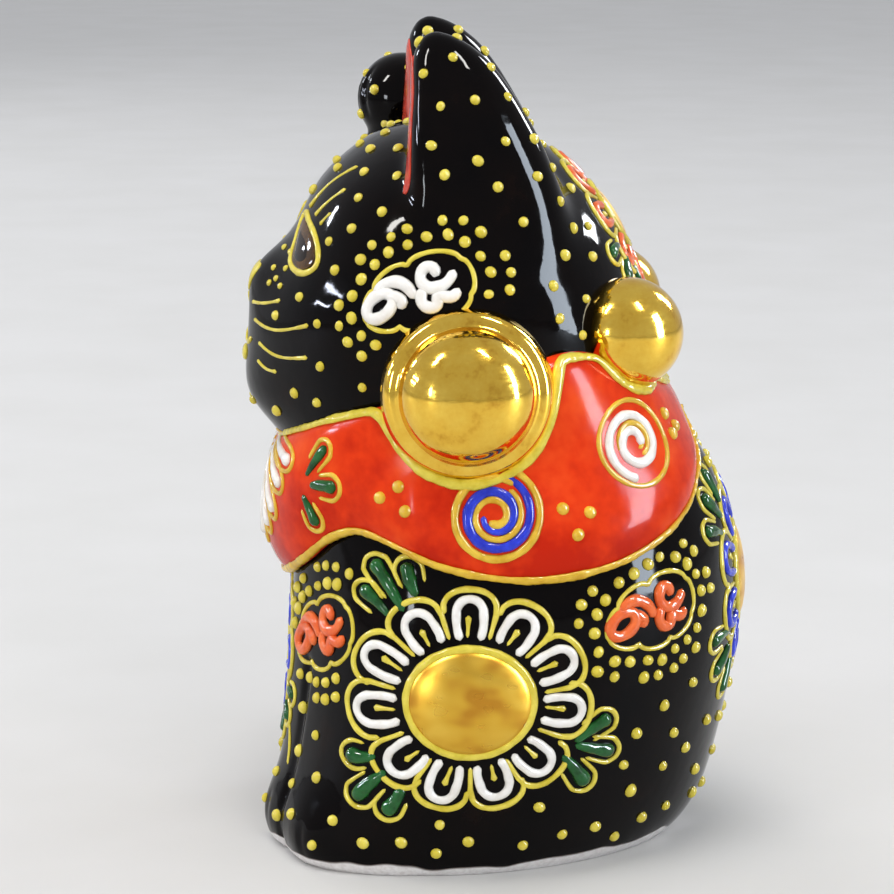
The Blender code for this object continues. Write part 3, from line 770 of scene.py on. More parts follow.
def shaped(path, scale=1.0, turn=0.0, move=(0.0, 0.0)):
    """A flat path scaled, turned by degrees and moved."""
    cosine, sine = math.cos(math.radians(turn)), math.sin(math.radians(turn))
    path = np.asarray(path, float) * scale
    return np.column_stack((path[:, 0] * cosine - path[:, 1] * sine + move[0],
                            path[:, 0] * sine + path[:, 1] * cosine + move[1]))


# ---------------------------------------------------------------- enamel

class Taken:
    """Where enamel lies, so that what is laid later keeps clear of it."""

    def __init__(self):
        self.places, self.reach = np.empty((0, 3)), np.empty(0)

    def add(self, places, reach):
        """Places now covered, each with this reach round it."""
        self.places = np.vstack((self.places, places))
        self.reach = np.append(self.reach, np.full(len(places), reach))

    def clear(self, place, radius):
        """Whether a round touch would keep clear of everything laid."""
        if not len(self.places):
            return True
        away = np.linalg.norm(self.places - place, axis=1) - self.reach - radius
        return away.min() > 0.0


STROKES, DOTS = Taken(), Taken()


def uneven_widths(width, count):
    """Widths along a trailed line, wandering a little as a hand does."""
    width = np.atleast_1d(width)
    widths = np.interp(np.linspace(0.0, 1.0, count), np.linspace(0.0, 1.0, len(width)), width)
    phase = RNG.uniform(0.0, FULL_TURN, 2)
    run = np.arange(count) * PATH_STEP
    return widths * (1.0 + 0.05 * np.sin(run * 1.1 + phase[0]) + 0.04 * np.sin(run * 2.7 + phase[1]))


def directions_along(places, normals, closed):
    """Directions aside from a line and outward from the cat."""
    if closed:
        along = unit(np.roll(places, -1, axis=0) - np.roll(places, 1, axis=0))
    else:
        along = unit(np.gradient(places, axis=0))
    aside = unit(np.cross(along, normals))
    return aside, np.cross(aside, along)


def end_taper(places, half):
    """How much of its section a line keeps, so that both its ends are round."""
    travelled = travelled_along(places)
    to_end = np.minimum(travelled, travelled[-1] - travelled) / half
    return np.sqrt(np.clip(1.0 - (1.0 - np.minimum(to_end, 1.0)) ** 2, 0.03, 1.0))


class Enamel:
    """Touches of one enamel that together make one piece."""

    def __init__(self, name, material, slot=None, replaces=()):
        self.name, self.material, self.slot, self.replaces = name, material, slot, replaces
        self.points, self.faces, self.count = [], [], 0

    def add(self, points, faces):
        """One more touch."""
        self.points.append(np.asarray(points))
        self.faces += [tuple(int(index) + self.count for index in face) for face in faces]
        self.count += len(points)

    def build(self):
        """All the touches as one piece."""
        new_piece(self.name, np.vstack(self.points), self.faces, [self.material],
                  slot=self.slot, replaces=self.replaces)

    def line(self, spot, path, width, rise=STROKE_RISE, closed=False):
        """A trailed line. Width is a number, or widths along the line from start to end."""
        self.bead(*spot.land(even_steps(path, closed)), width, rise, closed)

    def bead(self, places, normals, width, rise=STROKE_RISE, closed=False):
        """A half-sunk bead along places on the cat."""
        widths = uneven_widths(width, len(places))
        aside, outward = directions_along(places, normals, closed)
        half = widths / 2.0
        taper = np.ones(len(places)) if closed else end_taper(places, half)
        sections = []
        for turn in round_angles(10):
            lift = np.where(math.sin(turn) > 0.0, 2.0 * half * rise * taper, SINK) * math.sin(turn)
            spread = aside * (half * taper * math.cos(turn))[:, None]
            sections.append(places + spread + outward * lift[:, None])
        grid = np.array(sections).transpose(1, 0, 2)
        if closed:
            self.add(grid.reshape(-1, 3), ring_faces(grid)[:, ::-1])
        else:
            points, faces = loft(grid)
            self.add(points, [face[::-1] for face in faces])
        STROKES.add(places[::2], float(widths.max()) / 2.0)

    def dot(self, place, normal, radius):
        """A raised dot, a little out of round."""
        normal = unit(normal)
        first = unit(np.cross(normal, (0.3, 0.2, 0.9)))
        second = np.cross(normal, first)
        stretch, turn = RNG.uniform(0.0, 0.09), RNG.uniform(0.0, math.pi)
        turns = round_angles(12)
        reach = radius * (1.0 + stretch * np.cos(2.0 * (turns - turn)))[:, None]
        circle = reach * (np.outer(np.cos(turns), first) + np.outer(np.sin(turns), second))
        grid = [place + circle * 0.98 - normal * SINK]
        for step in np.radians((0.0, 22.0, 44.0, 66.0)):
            grid.append(place + circle * math.cos(step) + normal * radius * DOT_RISE * math.sin(step))
        self.add(*loft(np.array(grid), place - normal * SINK, place + normal * radius * DOT_RISE))
        DOTS.add(place[None], radius)

    def patch(self, spot, outline, rise, edge=0.12):
        """A low cushion of enamel filling an outline."""
        outline = even_steps(outline, closed=True, step=0.5)
        middle = outline.mean(axis=0)
        grid = []
        for part in (1.0, 1.0, 0.97, 0.9, 0.78, 0.6, 0.4, 0.2):
            places, normals = spot.land(middle + (outline - middle) * part)
            height = edge + (rise - edge) * math.sqrt(1.0 - part ** 2) if grid else -SINK
            grid.append(places + normals * height)
        centre, normal = spot.land([middle])
        solid = loft(np.array(grid), centre[0] - normal[0] * SINK, centre[0] + normal[0] * rise)
        self.add(*facing_out(*solid))
        inner = [middle + (outline - middle) * part for part in (0.3, 0.6, 0.9)]
        STROKES.add(spot.land(np.vstack(inner))[0], 0.6)


def facing_out(points, faces):
    """A closed solid with its faces turned outward."""
    middle = points.mean(axis=0)
    volume = 0.0
    for face in faces:
        for second, third in zip(face[1:-1], face[2:]):
            one, two, three = points[face[0]] - middle, points[second] - middle, points[third] - middle
            volume += float(np.dot(one, np.cross(two, three)))
    return points, faces if volume >= 0.0 else [face[::-1] for face in faces]


def near_line(corners):
    """Places on the cat nearest to a soft curve through points in space."""
    found = [SURFACE.nearest(point) for point in even_steps(soft_path(corners))]
    return np.array([place for place, _ in found]), np.array([normal for _, normal in found])


# ---------------------------------------------------------------- materials

class Recipe:
    """A node material being written, with the object's own coordinates for its patterns."""

    def __init__(self, name, roughness=0.1, metallic=0.0, coat=0.0, specular=0.5):
        self.material = bpy.data.materials.new(name)
        self.material.use_nodes = True
        self.nodes = self.material.node_tree.nodes
        self.links = self.material.node_tree.links
        self.shader = self.nodes["Principled BSDF"]
        self.place = self.nodes.new("ShaderNodeTexCoord").outputs["Object"]
        self.shader.inputs["Roughness"].default_value = roughness
        self.shader.inputs["Metallic"].default_value = metallic
        self.shader.inputs["Coat Weight"].default_value = coat
        self.shader.inputs["Coat Roughness"].default_value = 0.03
        self.shader.inputs["Specular IOR Level"].default_value = specular

    def noise(self, size, detail=2.0, stretch=(1.0, 1.0, 1.0)):
        """Noise whose features are about this many millimetres."""
        mapping = self.nodes.new("ShaderNodeMapping")
        mapping.inputs["Scale"].default_value = stretch
        self.links.new(self.place, mapping.inputs["Vector"])
        node = self.nodes.new("ShaderNodeTexNoise")
        node.inputs["Scale"].default_value = 1.0 / (size * MM)
        node.inputs["Detail"].default_value = detail
        self.links.new(mapping.outputs["Vector"], node.inputs["Vector"])
        return node.outputs["Fac"]

    def ramp(self, factor, *stops):
        """Colours at places along a factor."""
        node = self.nodes.new("ShaderNodeValToRGB")
        elements = node.color_ramp.elements
        while len(elements) < len(stops):
            elements.new(0.5)
        for element, (position, colour) in zip(elements, stops):
            element.position = position
            element.color = (*colour, 1.0)
        self.links.new(factor, node.inputs["Fac"])
        return node.outputs["Color"]

    def span(self, factor, low, high, from_low=0.3, from_high=0.7):
        """A factor's middle stretch spread over a range of values."""
        node = self.nodes.new("ShaderNodeMapRange")
        values = {"From Min": from_low, "From Max": from_high, "To Min": low, "To Max": high}
        for name, value in values.items():
            node.inputs[name].default_value = value
        self.links.new(factor, node.inputs["Value"])
        return node.outputs["Result"]

    def sum(self, first, second, share=1.0):
        """One factor and a share of another."""
        node = self.nodes.new("ShaderNodeMath")
        node.operation = 'MULTIPLY_ADD'
        node.inputs[1].default_value = share
        self.links.new(second, node.inputs[0])
        self.links.new(first, node.inputs[2])
        return node.outputs["Value"]

    def mix(self, factor, first, second):
        """The second colour over the first."""
        node = self.nodes.new("ShaderNodeMix")
        node.data_type = 'RGBA'
        self.links.new(factor, node.inputs["Factor"])
        self.links.new(first, node.inputs[6])
        self.links.new(second, node.inputs[7])
        return node.outputs[2]

    def height(self):
        """Height above the table in metres."""
        node = self.nodes.new("ShaderNodeSeparateXYZ")
        self.links.new(self.place, node.inputs["Vector"])
        return node.outputs["Z"]

    def bump(self, relief, microns):
        """Fine relief, this deep where the factor is one."""
        node = self.nodes.new("ShaderNodeBump")
        node.inputs["Distance"].default_value = microns * 1e-6
        node.inputs["Strength"].default_value = 1.0
        self.links.new(relief, node.inputs["Height"])
        self.links.new(node.outputs["Normal"], self.shader.inputs["Normal"])

    def set(self, name, output):
        """A node's output as one of the surface's own values."""
        self.links.new(output, self.shader.inputs[name])

    def colour(self, factor, *stops):
        """The surface's colour, by a factor."""
        self.set("Base Color", self.ramp(factor, *stops))

    def roughness(self, factor, low, high):
        """The surface's roughness, between two values by a factor."""
        self.set("Roughness", self.span(factor, low, high))


def black_glaze():
    """Deep black glaze, pooled and slightly wavy, stopping short of the bare foot."""
    recipe = Recipe("black_glaze", specular=0.08)
    pool = recipe.noise(7.0, 3.0)
    colour = recipe.ramp(pool, (0.3, (0.0014, 0.0010, 0.0012)), (0.62, (0.0026, 0.0015, 0.0014)),
                         (0.8, (0.0070, 0.0028, 0.0018)))
    edge = recipe.sum(recipe.height(), recipe.noise(13.0, 2.0), -0.0042)
    cover = recipe.span(edge, 0.0, 1.0, -0.0006, -0.0002)
    speckle = recipe.ramp(recipe.noise(0.7, 3.0), (0.35, (0.66, 0.63, 0.62)),
                          (0.6, (0.76, 0.74, 0.73)))
    fringe = recipe.ramp(cover, (0.0, (0.72, 0.69, 0.67)), (0.55, (0.16, 0.07, 0.03)),
                         (1.0, (0.008, 0.006, 0.005)))
    bare = recipe.mix(cover, speckle, fringe)
    recipe.set("Base Color", recipe.mix(cover, bare, colour))
    gloss = recipe.span(recipe.noise(2.2, 2.0), 0.035, 0.075)
    rough = recipe.nodes.new("ShaderNodeMix")
    rough.inputs[2].default_value = 0.62
    recipe.links.new(cover, rough.inputs["Factor"])
    recipe.links.new(gloss, rough.inputs[3])
    recipe.set("Roughness", rough.outputs[0])
    recipe.bump(recipe.sum(recipe.noise(3.2, 1.0), recipe.noise(0.9, 1.0), 0.1), 42.0)
    return recipe.material


def biscuit():
    """Unglazed porcelain of the inside and the foot."""
    recipe = Recipe("biscuit", roughness=0.65)
    recipe.colour(recipe.noise(0.8, 4.0), (0.3, (0.60, 0.55, 0.47)), (0.6, (0.76, 0.72, 0.65)))
    recipe.bump(recipe.noise(0.35, 3.0), 25.0)
    return recipe.material


def red_enamel():
    """Vermilion enamel with a cloudy tone, painted deeper low down as shade."""
    recipe = Recipe("red_enamel", coat=0.02, specular=0.06)
    cloudy = recipe.sum(recipe.noise(9.0, 3.0), recipe.noise(1.6, 2.0), 0.22)
    # Painted shade: the height term darkens the red towards the bib's lower edge.
    tone = recipe.sum(cloudy, recipe.span(recipe.height(), -0.2, 0.03, 0.040, 0.057))
    recipe.colour(tone, (0.42, (0.52, 0.018, 0.004)), (0.62, (0.72, 0.042, 0.007)),
                  (0.85, (0.84, 0.085, 0.014)))
    recipe.roughness(recipe.noise(3.0, 2.0), 0.10, 0.2)
    recipe.bump(recipe.sum(recipe.noise(4.0, 1.0), recipe.noise(0.8, 2.0), 0.08), 50.0)
    return recipe.material


def trailed_enamel(name, thin, thick, roughness=(0.10, 0.2)):
    """Opaque raised enamel, a little paler or deeper from touch to touch."""
    recipe = Recipe(name, coat=0.06, specular=0.3)
    tone = recipe.sum(recipe.noise(2.6, 2.0), recipe.noise(0.5, 2.0), 0.25)
    recipe.colour(tone, (0.45, thin), (0.78, thick))
    recipe.roughness(recipe.noise(0.9, 2.0), *roughness)
    recipe.bump(recipe.noise(0.45, 2.0), 14.0)
    return recipe.material


def mirror_gilding():
    """Bright gold lustre: mirror-like, with brush marks and thin reddish places."""
    recipe = Recipe("mirror_gilding", metallic=1.0)
    wear = recipe.sum(recipe.noise(3.5, 5.0), recipe.noise(0.6, 3.0), 0.3)
    recipe.colour(wear, (0.34, (0.56, 0.28, 0.030)), (0.55, (0.80, 0.49, 0.062)),
                  (0.9, (0.90, 0.61, 0.10)))
    recipe.roughness(recipe.noise(1.4, 4.0, (1.0, 1.0, 3.0)), 0.05, 0.15)
    waves, strokes = recipe.noise(2.6, 2.0), recipe.noise(0.8, 2.0, (1.0, 0.35, 2.0))
    recipe.bump(recipe.sum(waves, strokes, 0.08), 30.0)
    return recipe.material


def brushed_gilding():
    """Gold painted on with a brush: softly uneven and satin."""
    recipe = Recipe("brushed_gilding", metallic=0.85)
    cloudy = recipe.noise(5.0, 1.0, (1.0, 1.0, 1.6))
    recipe.colour(cloudy, (0.32, (0.52, 0.24, 0.022)), (0.50, (0.66, 0.38, 0.038)),
                  (0.70, (0.74, 0.47, 0.062)))
    recipe.roughness(recipe.noise(1.6, 1.0, (0.6, 0.5, 1.0)), 0.26, 0.36)
    recipe.bump(recipe.noise(4.0, 1.0), 30.0)
    return recipe.material


def pale_floor():
    """Plain pale matt floor."""
    recipe = Recipe("pale_floor", roughness=0.7)
    recipe.colour(recipe.noise(40.0, 4.0), (0.3, (0.61, 0.605, 0.59)), (0.7, (0.64, 0.635, 0.625)))
    return recipe.material


BLACK, BISCUIT, RED = black_glaze(), biscuit(), red_enamel()
MIRROR, BRUSHED = mirror_gilding(), brushed_gilding()
YELLOW = trailed_enamel("yellow_enamel", (0.60, 0.48, 0.032), (0.76, 0.64, 0.085))
DEEP_YELLOW = trailed_enamel("yellow_enamel_on_red", (0.62, 0.36, 0.02), (0.78, 0.52, 0.05))
WHITE = trailed_enamel("white_enamel", (0.78, 0.75, 0.70), (0.88, 0.87, 0.84))
GREEN = trailed_enamel("green_enamel", (0.005, 0.050, 0.010), (0.014, 0.125, 0.026), (0.05, 0.12))
BLUE = trailed_enamel("blue_enamel", (0.014, 0.026, 0.46), (0.030, 0.060, 0.72), (0.06, 0.14))
ORANGE = trailed_enamel("orange_enamel", (0.74, 0.105, 0.020), (0.86, 0.17, 0.040))
EAR_RED = trailed_enamel("ear_red_enamel", (0.48, 0.030, 0.012), (0.64, 0.055, 0.02))
AMBER = trailed_enamel("amber_enamel", (0.045, 0.020, 0.005), (0.11, 0.05, 0.010), (0.05, 0.1))
PUPIL = trailed_enamel("pupil_enamel", (0.006, 0.004, 0.003), (0.02, 0.01, 0.006), (0.03, 0.07))


# ---------------------------------------------------------------- body, bib and gilding

SKIN = build_skin()
open_vent(SKIN)


def build_castings():
    """Body and head as shells with bare insides, ears and raised foreleg as capped solids."""
    labels = SKIN[3]
    for label, part in ((BODY, "body"), (HEAD, "head")):
        skin_piece(f"{part}_glazed", SKIN, labels == label, [BLACK, BISCUIT], wall=SKIN_WALL,
                   replaces=[f"{part}_casting"])
    for label, part in ((LEFT_EAR, "left_ear"), (RIGHT_EAR, "right_ear"), (FORELEG, "raised_foreleg")):
        skin_piece(f"{part}_glazed", SKIN, labels == label, [BLACK], replaces=[part])


BIB = bib_grid()
BIB_FACES = ring_faces(BIB)
new_piece("bib_enamelled", BIB.reshape(-1, 3), BIB_FACES, [RED], slot="red_enamel", replaces=["bib"])
build_castings()


def whole_surface():
    """Skin and bib together, for laying enamel on."""
    points, normals, quads, _ = SKIN
    flat = BIB.reshape(-1, 3)
    return Surface(np.vstack((points, flat)), np.vstack((normals, point_normals(flat, BIB_FACES))),
                   np.vstack((quads, BIB_FACES + len(points))))


SURFACE = whole_surface()


def turned(outline, seat, axis, sides, rows, ripple=0.0):
    """A turned solid through an outline of radius and distance along an axis."""
    fine = curve_points(outline, rows)
    turns = round_angles(sides)
    axis = unit(np.array(axis, float))
    grid = []
    for radius, distance in fine[:-1]:
        wave = ripple * math.sin(radius * 6.0) if radius < 8.0 else 0.0
        grid.append(round_section(seat + (distance + wave) * axis, axis, max(radius, 0.02), turns))
    return facing_out(*loft(np.array(grid), top=seat + fine[-1][1] * axis))


def gilt_bell(side, sides, rows, ripple=0.0):
    """The brimmed bell on one side of the neck."""
    lift = math.radians(BELL_LIFT)
    axis = np.array((side * math.cos(lift), 0.0, math.sin(lift)))
    return turned(BELL_OUTLINE, on_side(BELL_SEAT, side), axis, sides, rows, ripple)


def gilt_ball(side, steps, sides, rows):
    """The plain ball on one side of the nape."""
    angles = np.radians(np.linspace(-80.0, 90.0, steps))
    outline = [(BALL_RADIUS * math.cos(angle), BALL_RADIUS * math.sin(angle)) for angle in angles]
    return turned(outline, on_side(BALL_CENTRE, side), on_side(BALL_AXIS, side), sides, rows)


def build_gilding():
    """Side bells and nape balls."""
    for side, word in SIDES:
        new_piece(f"{word}_side_bell_gilt", *gilt_bell(side, 96, 90, 0.006), [MIRROR], slot="gilding",
                  replaces=[f"{word}_side_bell"])
        new_piece(f"{word}_nape_ball_gilt", *gilt_ball(side, 24, 96, 60), [MIRROR], slot="gilding",
                  replaces=[f"{word}_nape_ball"])


build_gilding()


def edging_places(upper):
    """The trailed line along an edge of the bib; the upper one dips under the bells and balls."""
    bearings = np.linspace(-math.pi, math.pi, 900, endpoint=False)
    rise = np.full(len(bearings), 1.0 - EDGING_RISE if upper else EDGING_RISE)
    if upper:
        for _ in range(60):
            places = bib_points(bearings, rise, 0.2)
            touching = near_gilding(places)
            if not touching.any():
                break
            rise[touching] -= 0.012
        for _ in range(30):
            rise = 0.5 * rise + 0.25 * (np.roll(rise, 1) + np.roll(rise, -1))
    places = bib_points(bearings, rise, 0.1)
    below = bib_points(bearings, np.clip(rise - 0.03, 0.0, 1.0))
    above = bib_points(bearings, np.clip(rise + 0.03, 0.0, 1.0))
    along = np.roll(places, -1, axis=0) - np.roll(places, 1, axis=0)
    return places, unit(np.cross(along, above - below))


def near_gilding(places):
    """Which places of the edging's middle line would touch a bell or a ball."""
    flat = np.abs(places[:, 0])
    bell_reach = np.hypot(places[:, 1] - BELL_SEAT[1], places[:, 2] - BELL_SEAT[2] - 0.3)
    ball_reach = np.linalg.norm(np.column_stack((flat, places[:, 1:])) - BALL_CENTRE, axis=1)
    at_bell = (flat > 12.0) & (bell_reach < BELL_BRIM + BELL_CLEAR)
    return at_bell | (ball_reach < BALL_RADIUS + BALL_CLEAR)


def build_edgings():
    """The trailed lines along the bib's two edges."""
    for word, width, enamel in (("upper", 1.5, YELLOW), ("lower", 1.55, DEEP_YELLOW)):
        places, normals = edging_places(word == "upper")
        step = np.linalg.norm(np.diff(places, axis=0), axis=1).mean()
        run = np.arange(len(places)) * FULL_TURN / len(places)
        widths = width * (1.0 + 0.12 * np.sin(13.0 * run) + 0.08 * np.sin(29.0 * run + 1.0))
        line = Enamel(f"bib_{word}_trailed_edging", enamel, "yellow_enamel", [f"bib_{word}_edging"])
        line.bead(places, normals, widths, rise=0.36, closed=True)
        line.build()
        STROKES.add(places[::int(max(1, EDGING_REACH / step))], EDGING_REACH)


build_edgings()


# ---------------------------------------------------------------- motifs

SIDE_FLOWER = (34.0, 2.2, 26.5), (-1.0, 0.0, 0.0)

# Flowers: name, middle, looked along, disc radii, petals, petal length and width, petal enamel.
FLOWERS = (
    ("left_flower", *SIDE_FLOWER, (8.6, 7.4), 11, 6.2, 3.9, WHITE),
    ("right_flower", (-34.0, 2.2, 26.5), (1.0, 0.0, 0.0), (8.6, 7.4), 11, 6.2, 3.9, WHITE),
    ("chest_flower", (0.0, -20.0, 27.5), (0.0, 1.0, 0.0), (5.4, 5.4), 8, 4.4, 3.6, BLUE),
    ("back_flower", (0.0, 38.0, 38.0), (0.0, -1.0, 0.0), (7.8, 7.2), 10, 5.6, 3.9, BLUE),
    ("head_flower", (0.0, 24.0, 91.0), (0.0, -1.0, -0.4), (5.4, 5.0), 9, 4.8, 3.2, ORANGE),
)


def yellow(name, replaces=()):
    """A piece of yellow enamel on black."""
    return Enamel(name, YELLOW, "yellow_enamel", replaces)


def petal_stroke(reach, half):
    """A U-shaped stroke along the first axis, open towards the flower's middle."""
    turns = np.linspace(0.3, math.pi - 0.3, 7)
    side = np.array(((0.5, 0.72 * half), (reach - 2.0 * half, 0.98 * half), (reach - half, half)))
    cap = flat_points((reach - half, 0.0), half, half, turns - math.pi / 2.0)
    return soft_path(np.vstack((side * (1.0, -1.0), cap, side[::-1])))


def flower(name, centre, looked, disc, count, length, width, petal_enamel):
    """A gilt centre in a trailed ring, U-shaped petals with stamens, and a scalloped outline."""
    spot = Spot(centre, looked)
    gilt = Enamel(f"{name}_gilt_disc", BRUSHED, "gilding", [f"{name}_disc"])
    ring = yellow(f"{name}_trailed_ring", [f"{name}_ring"])
    petals, stamens = Enamel(f"{name}_petals", petal_enamel), yellow(f"{name}_stamens")
    outline = yellow(f"{name}_outline")
    dome = 0.17 * disc[0] if disc[0] > 6.0 else 0.6
    gilt.patch(spot, arc((0.0, 0.0), disc, 0.0, 354.0), dome)
    around = (disc[0] + 0.25, disc[1] + 0.25)
    ring.line(spot, arc((0.0, 0.0), around, 0.0, 357.0), 1.35, closed=True)

    def rim(angle):
        """Reach of the disc's outer rim at an angle."""
        return 1.0 / np.hypot(np.cos(angle) / (disc[0] + 1.0), np.sin(angle) / (disc[1] + 1.0))

    half_turn = math.pi / count
    share = np.linspace(-1.0, 1.0, 25)
    lobe = length * (0.72 + 0.50 * np.sqrt(np.maximum(0.0, 1.0 - np.abs(share) ** 2.4)))
    for index in range(count):
        angle = math.radians(90.0) + 2.0 * half_turn * index + RNG.uniform(-0.03, 0.03)
        base, turn = rim(angle), math.degrees(angle)
        reach = length * RNG.uniform(0.94, 1.05)
        half = width / 2.0 * RNG.uniform(0.93, 1.05)
        petals.line(spot, shaped(petal_stroke(reach, half) + (base, 0.0), turn=turn), 1.28)
        stem = ((base + 0.9, 0.15), (base + 0.4 * reach, 0.0), (base + reach - half - 0.4, -0.1))
        stem = shaped(stem, turn=turn + RNG.uniform(-2.0, 2.0))
        stamens.line(spot, soft_path(stem), (0.5, 0.55, 1.15))
        angles = angle + share * half_turn
        outer = np.append(rim(angles[0]) + 0.9, rim(angles) + lobe)
        scallop = flat_points((0.0, 0.0), outer, outer, np.append(angles[0], angles))
        outline.line(spot, scallop, (0.6, 0.85, 0.9, 0.95, 0.8))
    for enamel in (gilt, ring, petals, stamens, outline):
        enamel.build()
    return spot


def leaf(green, outline, spot, base, tip, width):
    """A fat glassy drop and the open line round its full end."""
    base, tip = np.array(base, float), np.array(tip, float)
    along = (tip - base) / np.linalg.norm(tip - base)
    aside = np.array((-along[1], along[0]))
    bend = aside * RNG.uniform(-0.35, 0.35)
    drop = soft_path([base, (base + tip) / 2.0 + bend, tip])
    green.line(spot, drop, (0.45 * width, 0.8 * width, width), 0.40)
    reach = width / 2.0 + 0.75
    centre = tip - along * width / 2.0
    start = base + 0.35 * (tip - base)
    path = [start + aside * reach * 0.85, centre + aside * reach]
    path += [centre + reach * (aside * math.cos(turn) + along * math.sin(turn))
             for turn in np.linspace(0.5, math.pi - 0.5, 5)]
    path += [centre - aside * reach, start - aside * reach * 0.85]
    outline.line(spot, soft_path(path), (0.55, 0.75, 0.8, 0.7, 0.5))


# Leaves beside the flowers: base, tip and width of each, across and up from the flower's middle.
SIDE_LEAVES = (
    ((-9.2, 12.4), (-13.4, 18.9), 2.3),
    ((-7.4, 14.6), (-8.8, 19.2), 2.5),
    ((-11.2, 11.6), (-15.1, 14.9), 2.1),
    ((-13.2, -8.4), (-17.2, -8.8), 2.5),
    ((-11.8, -10.4), (-16.2, -15.0), 2.6),
    ((-9.4, -12.4), (-12.0, -16.6), 2.6),
    ((14.8, -6.4), (19.9, -3.2), 2.2),
    ((14.9, -6.9), (20.5, -8.6), 2.3),
    ((13.1, -8.3), (16.6, -13.2), 2.5),
)
ROUND_LEAVES = (
    ((11.4, 9.8), (15.2, 13.6), 2.2),
    ((9.6, 11.6), (10.8, 16.8), 2.2),
    ((12.6, 7.8), (17.6, 9.0), 2.0),
    ((12.0, -8.8), (16.4, -12.2), 2.2),
    ((10.0, -11.0), (12.0, -16.0), 2.2),
    ((13.2, -6.6), (18.4, -7.2), 2.0),
)
HEAD_LEAF_SHIFT = np.array((-0.8, 2.4))

# A cloud's lobed outline by its corners, and the thick strokes that roll inside it.
CLOUD_OUTLINE = (
    (-5.6, 1.3), (-0.4, 3.9), (6.9, 3.6), (7.6, -1.5), (3.0, -4.2), (-2.6, -4.2), (-7.2, -2.9),
)
CLOUD_LINE = 1.75
CLOUD_PUFFS = (
    ((-5.4, 0.5), (-4.3, 1.7), (-2.4, 2.0), (-0.7, 1.0), (0.2, -0.8)),
    ((-3.9, 0.2), (-2.6, -0.1), (-1.7, -0.9), (-2.4, -1.7)),
    ((3.1, 1.7), (3.3, 2.9), (2.1, 3.2), (1.3, 2.0), (1.9, 0.6), (3.5, 0.2), (5.0, 0.9),
     (5.9, 2.2)),
    ((1.7, 0.4), (1.0, -0.9), (1.6, -2.2), (3.0, -2.2), (3.4, -1.0), (5.0, -1.4), (6.2, -0.4)),
)


def cloud(name, spot, enamel):
    """A curling cloud: a round loop and rolling puffs of thick enamel in a lobed outline."""
    curls, outline = Enamel(f"{name}_curls", enamel), yellow(f"{name}_outline")
    loop = shaped(arc((0.0, 0.0), (2.2, 1.45), 0.0, 354.0), turn=30.0, move=(-5.0, -1.0))
    curls.line(spot, loop, CLOUD_LINE, closed=True)
    widths = CLOUD_LINE * np.array((0.85, 1.0, 1.05, 0.8))
    for puff in CLOUD_PUFFS:
        curls.line(spot, soft_path(puff), widths)
    edge = lobed(CLOUD_OUTLINE, 0.2)
    outline.line(spot, edge, 0.72, closed=True)
    curls.build()
    outline.build()
    return edge


def build_flowers():
    """The five flowers with their leaves."""
    spots = {name: flower(name, *rest) for name, *rest in FLOWERS}
    for side, word in SIDES:
        spray(f"{word}_flower", Spot(*SIDE_FLOWER, side), SIDE_LEAVES)
    for name, size in (("back_flower", 1.0), ("head_flower", 0.86), ("chest_flower", 0.74)):
        leaves = [(np.array(base) * size, np.array(tip) * size, width * (0.6 + 0.4 * size))
                  for base, tip, width in ROUND_LEAVES]
        if name == "head_flower":
            leaves = [(base + HEAD_LEAF_SHIFT, tip + HEAD_LEAF_SHIFT, width)
                      for base, tip, width in leaves[3:]]
        leaves += [(base * (-1.0, 1.0), tip * (-1.0, 1.0), width) for base, tip, width in leaves]
        if name == "chest_flower":
            leaves = leaves[3:9]
        spray(name, spots[name], leaves)


def spray(name, spot, leaves):
    """Leaves that belong to one flower."""
    green, outline = Enamel(f"{name}_leaves", GREEN), yellow(f"{name}_leaf_outlines")
    for base, tip, width in leaves:
        leaf(green, outline, spot, base, tip, width)
    green.build()
    outline.build()


# Clouds: name, middle, looked along, roll and enamel, on the left side.
CLOUDS = (
    ("cheek_cloud", (28.0, -5.0, 83.2), (-0.93, 0.33, -0.10), 12.0, WHITE),
    ("front_cloud", (19.5, -17.5, 33.4), (-0.66, 0.75, 0.0), 10.0, ORANGE),
    ("rear_cloud", (27.4, 27.4, 37.8), (-0.74, -0.67, 0.0), 2.0, ORANGE),
)
RIGHT_CHEEK = (28.6, 7.5, 84.0), (-0.98, -0.15, -0.10)


def build_clouds():
    """The clouds, and where each side's are: spot, outline and name."""
    made = {}
    for side, word in SIDES:
        made[word] = []
        for name, centre, looked, roll, enamel in CLOUDS:
            if side < 0 and name == "cheek_cloud":
                centre, looked = RIGHT_CHEEK
            spot = Spot(centre, looked, side, roll)
            made[word].append((spot, cloud(f"{word}_{name}", spot, enamel), name))
    return made


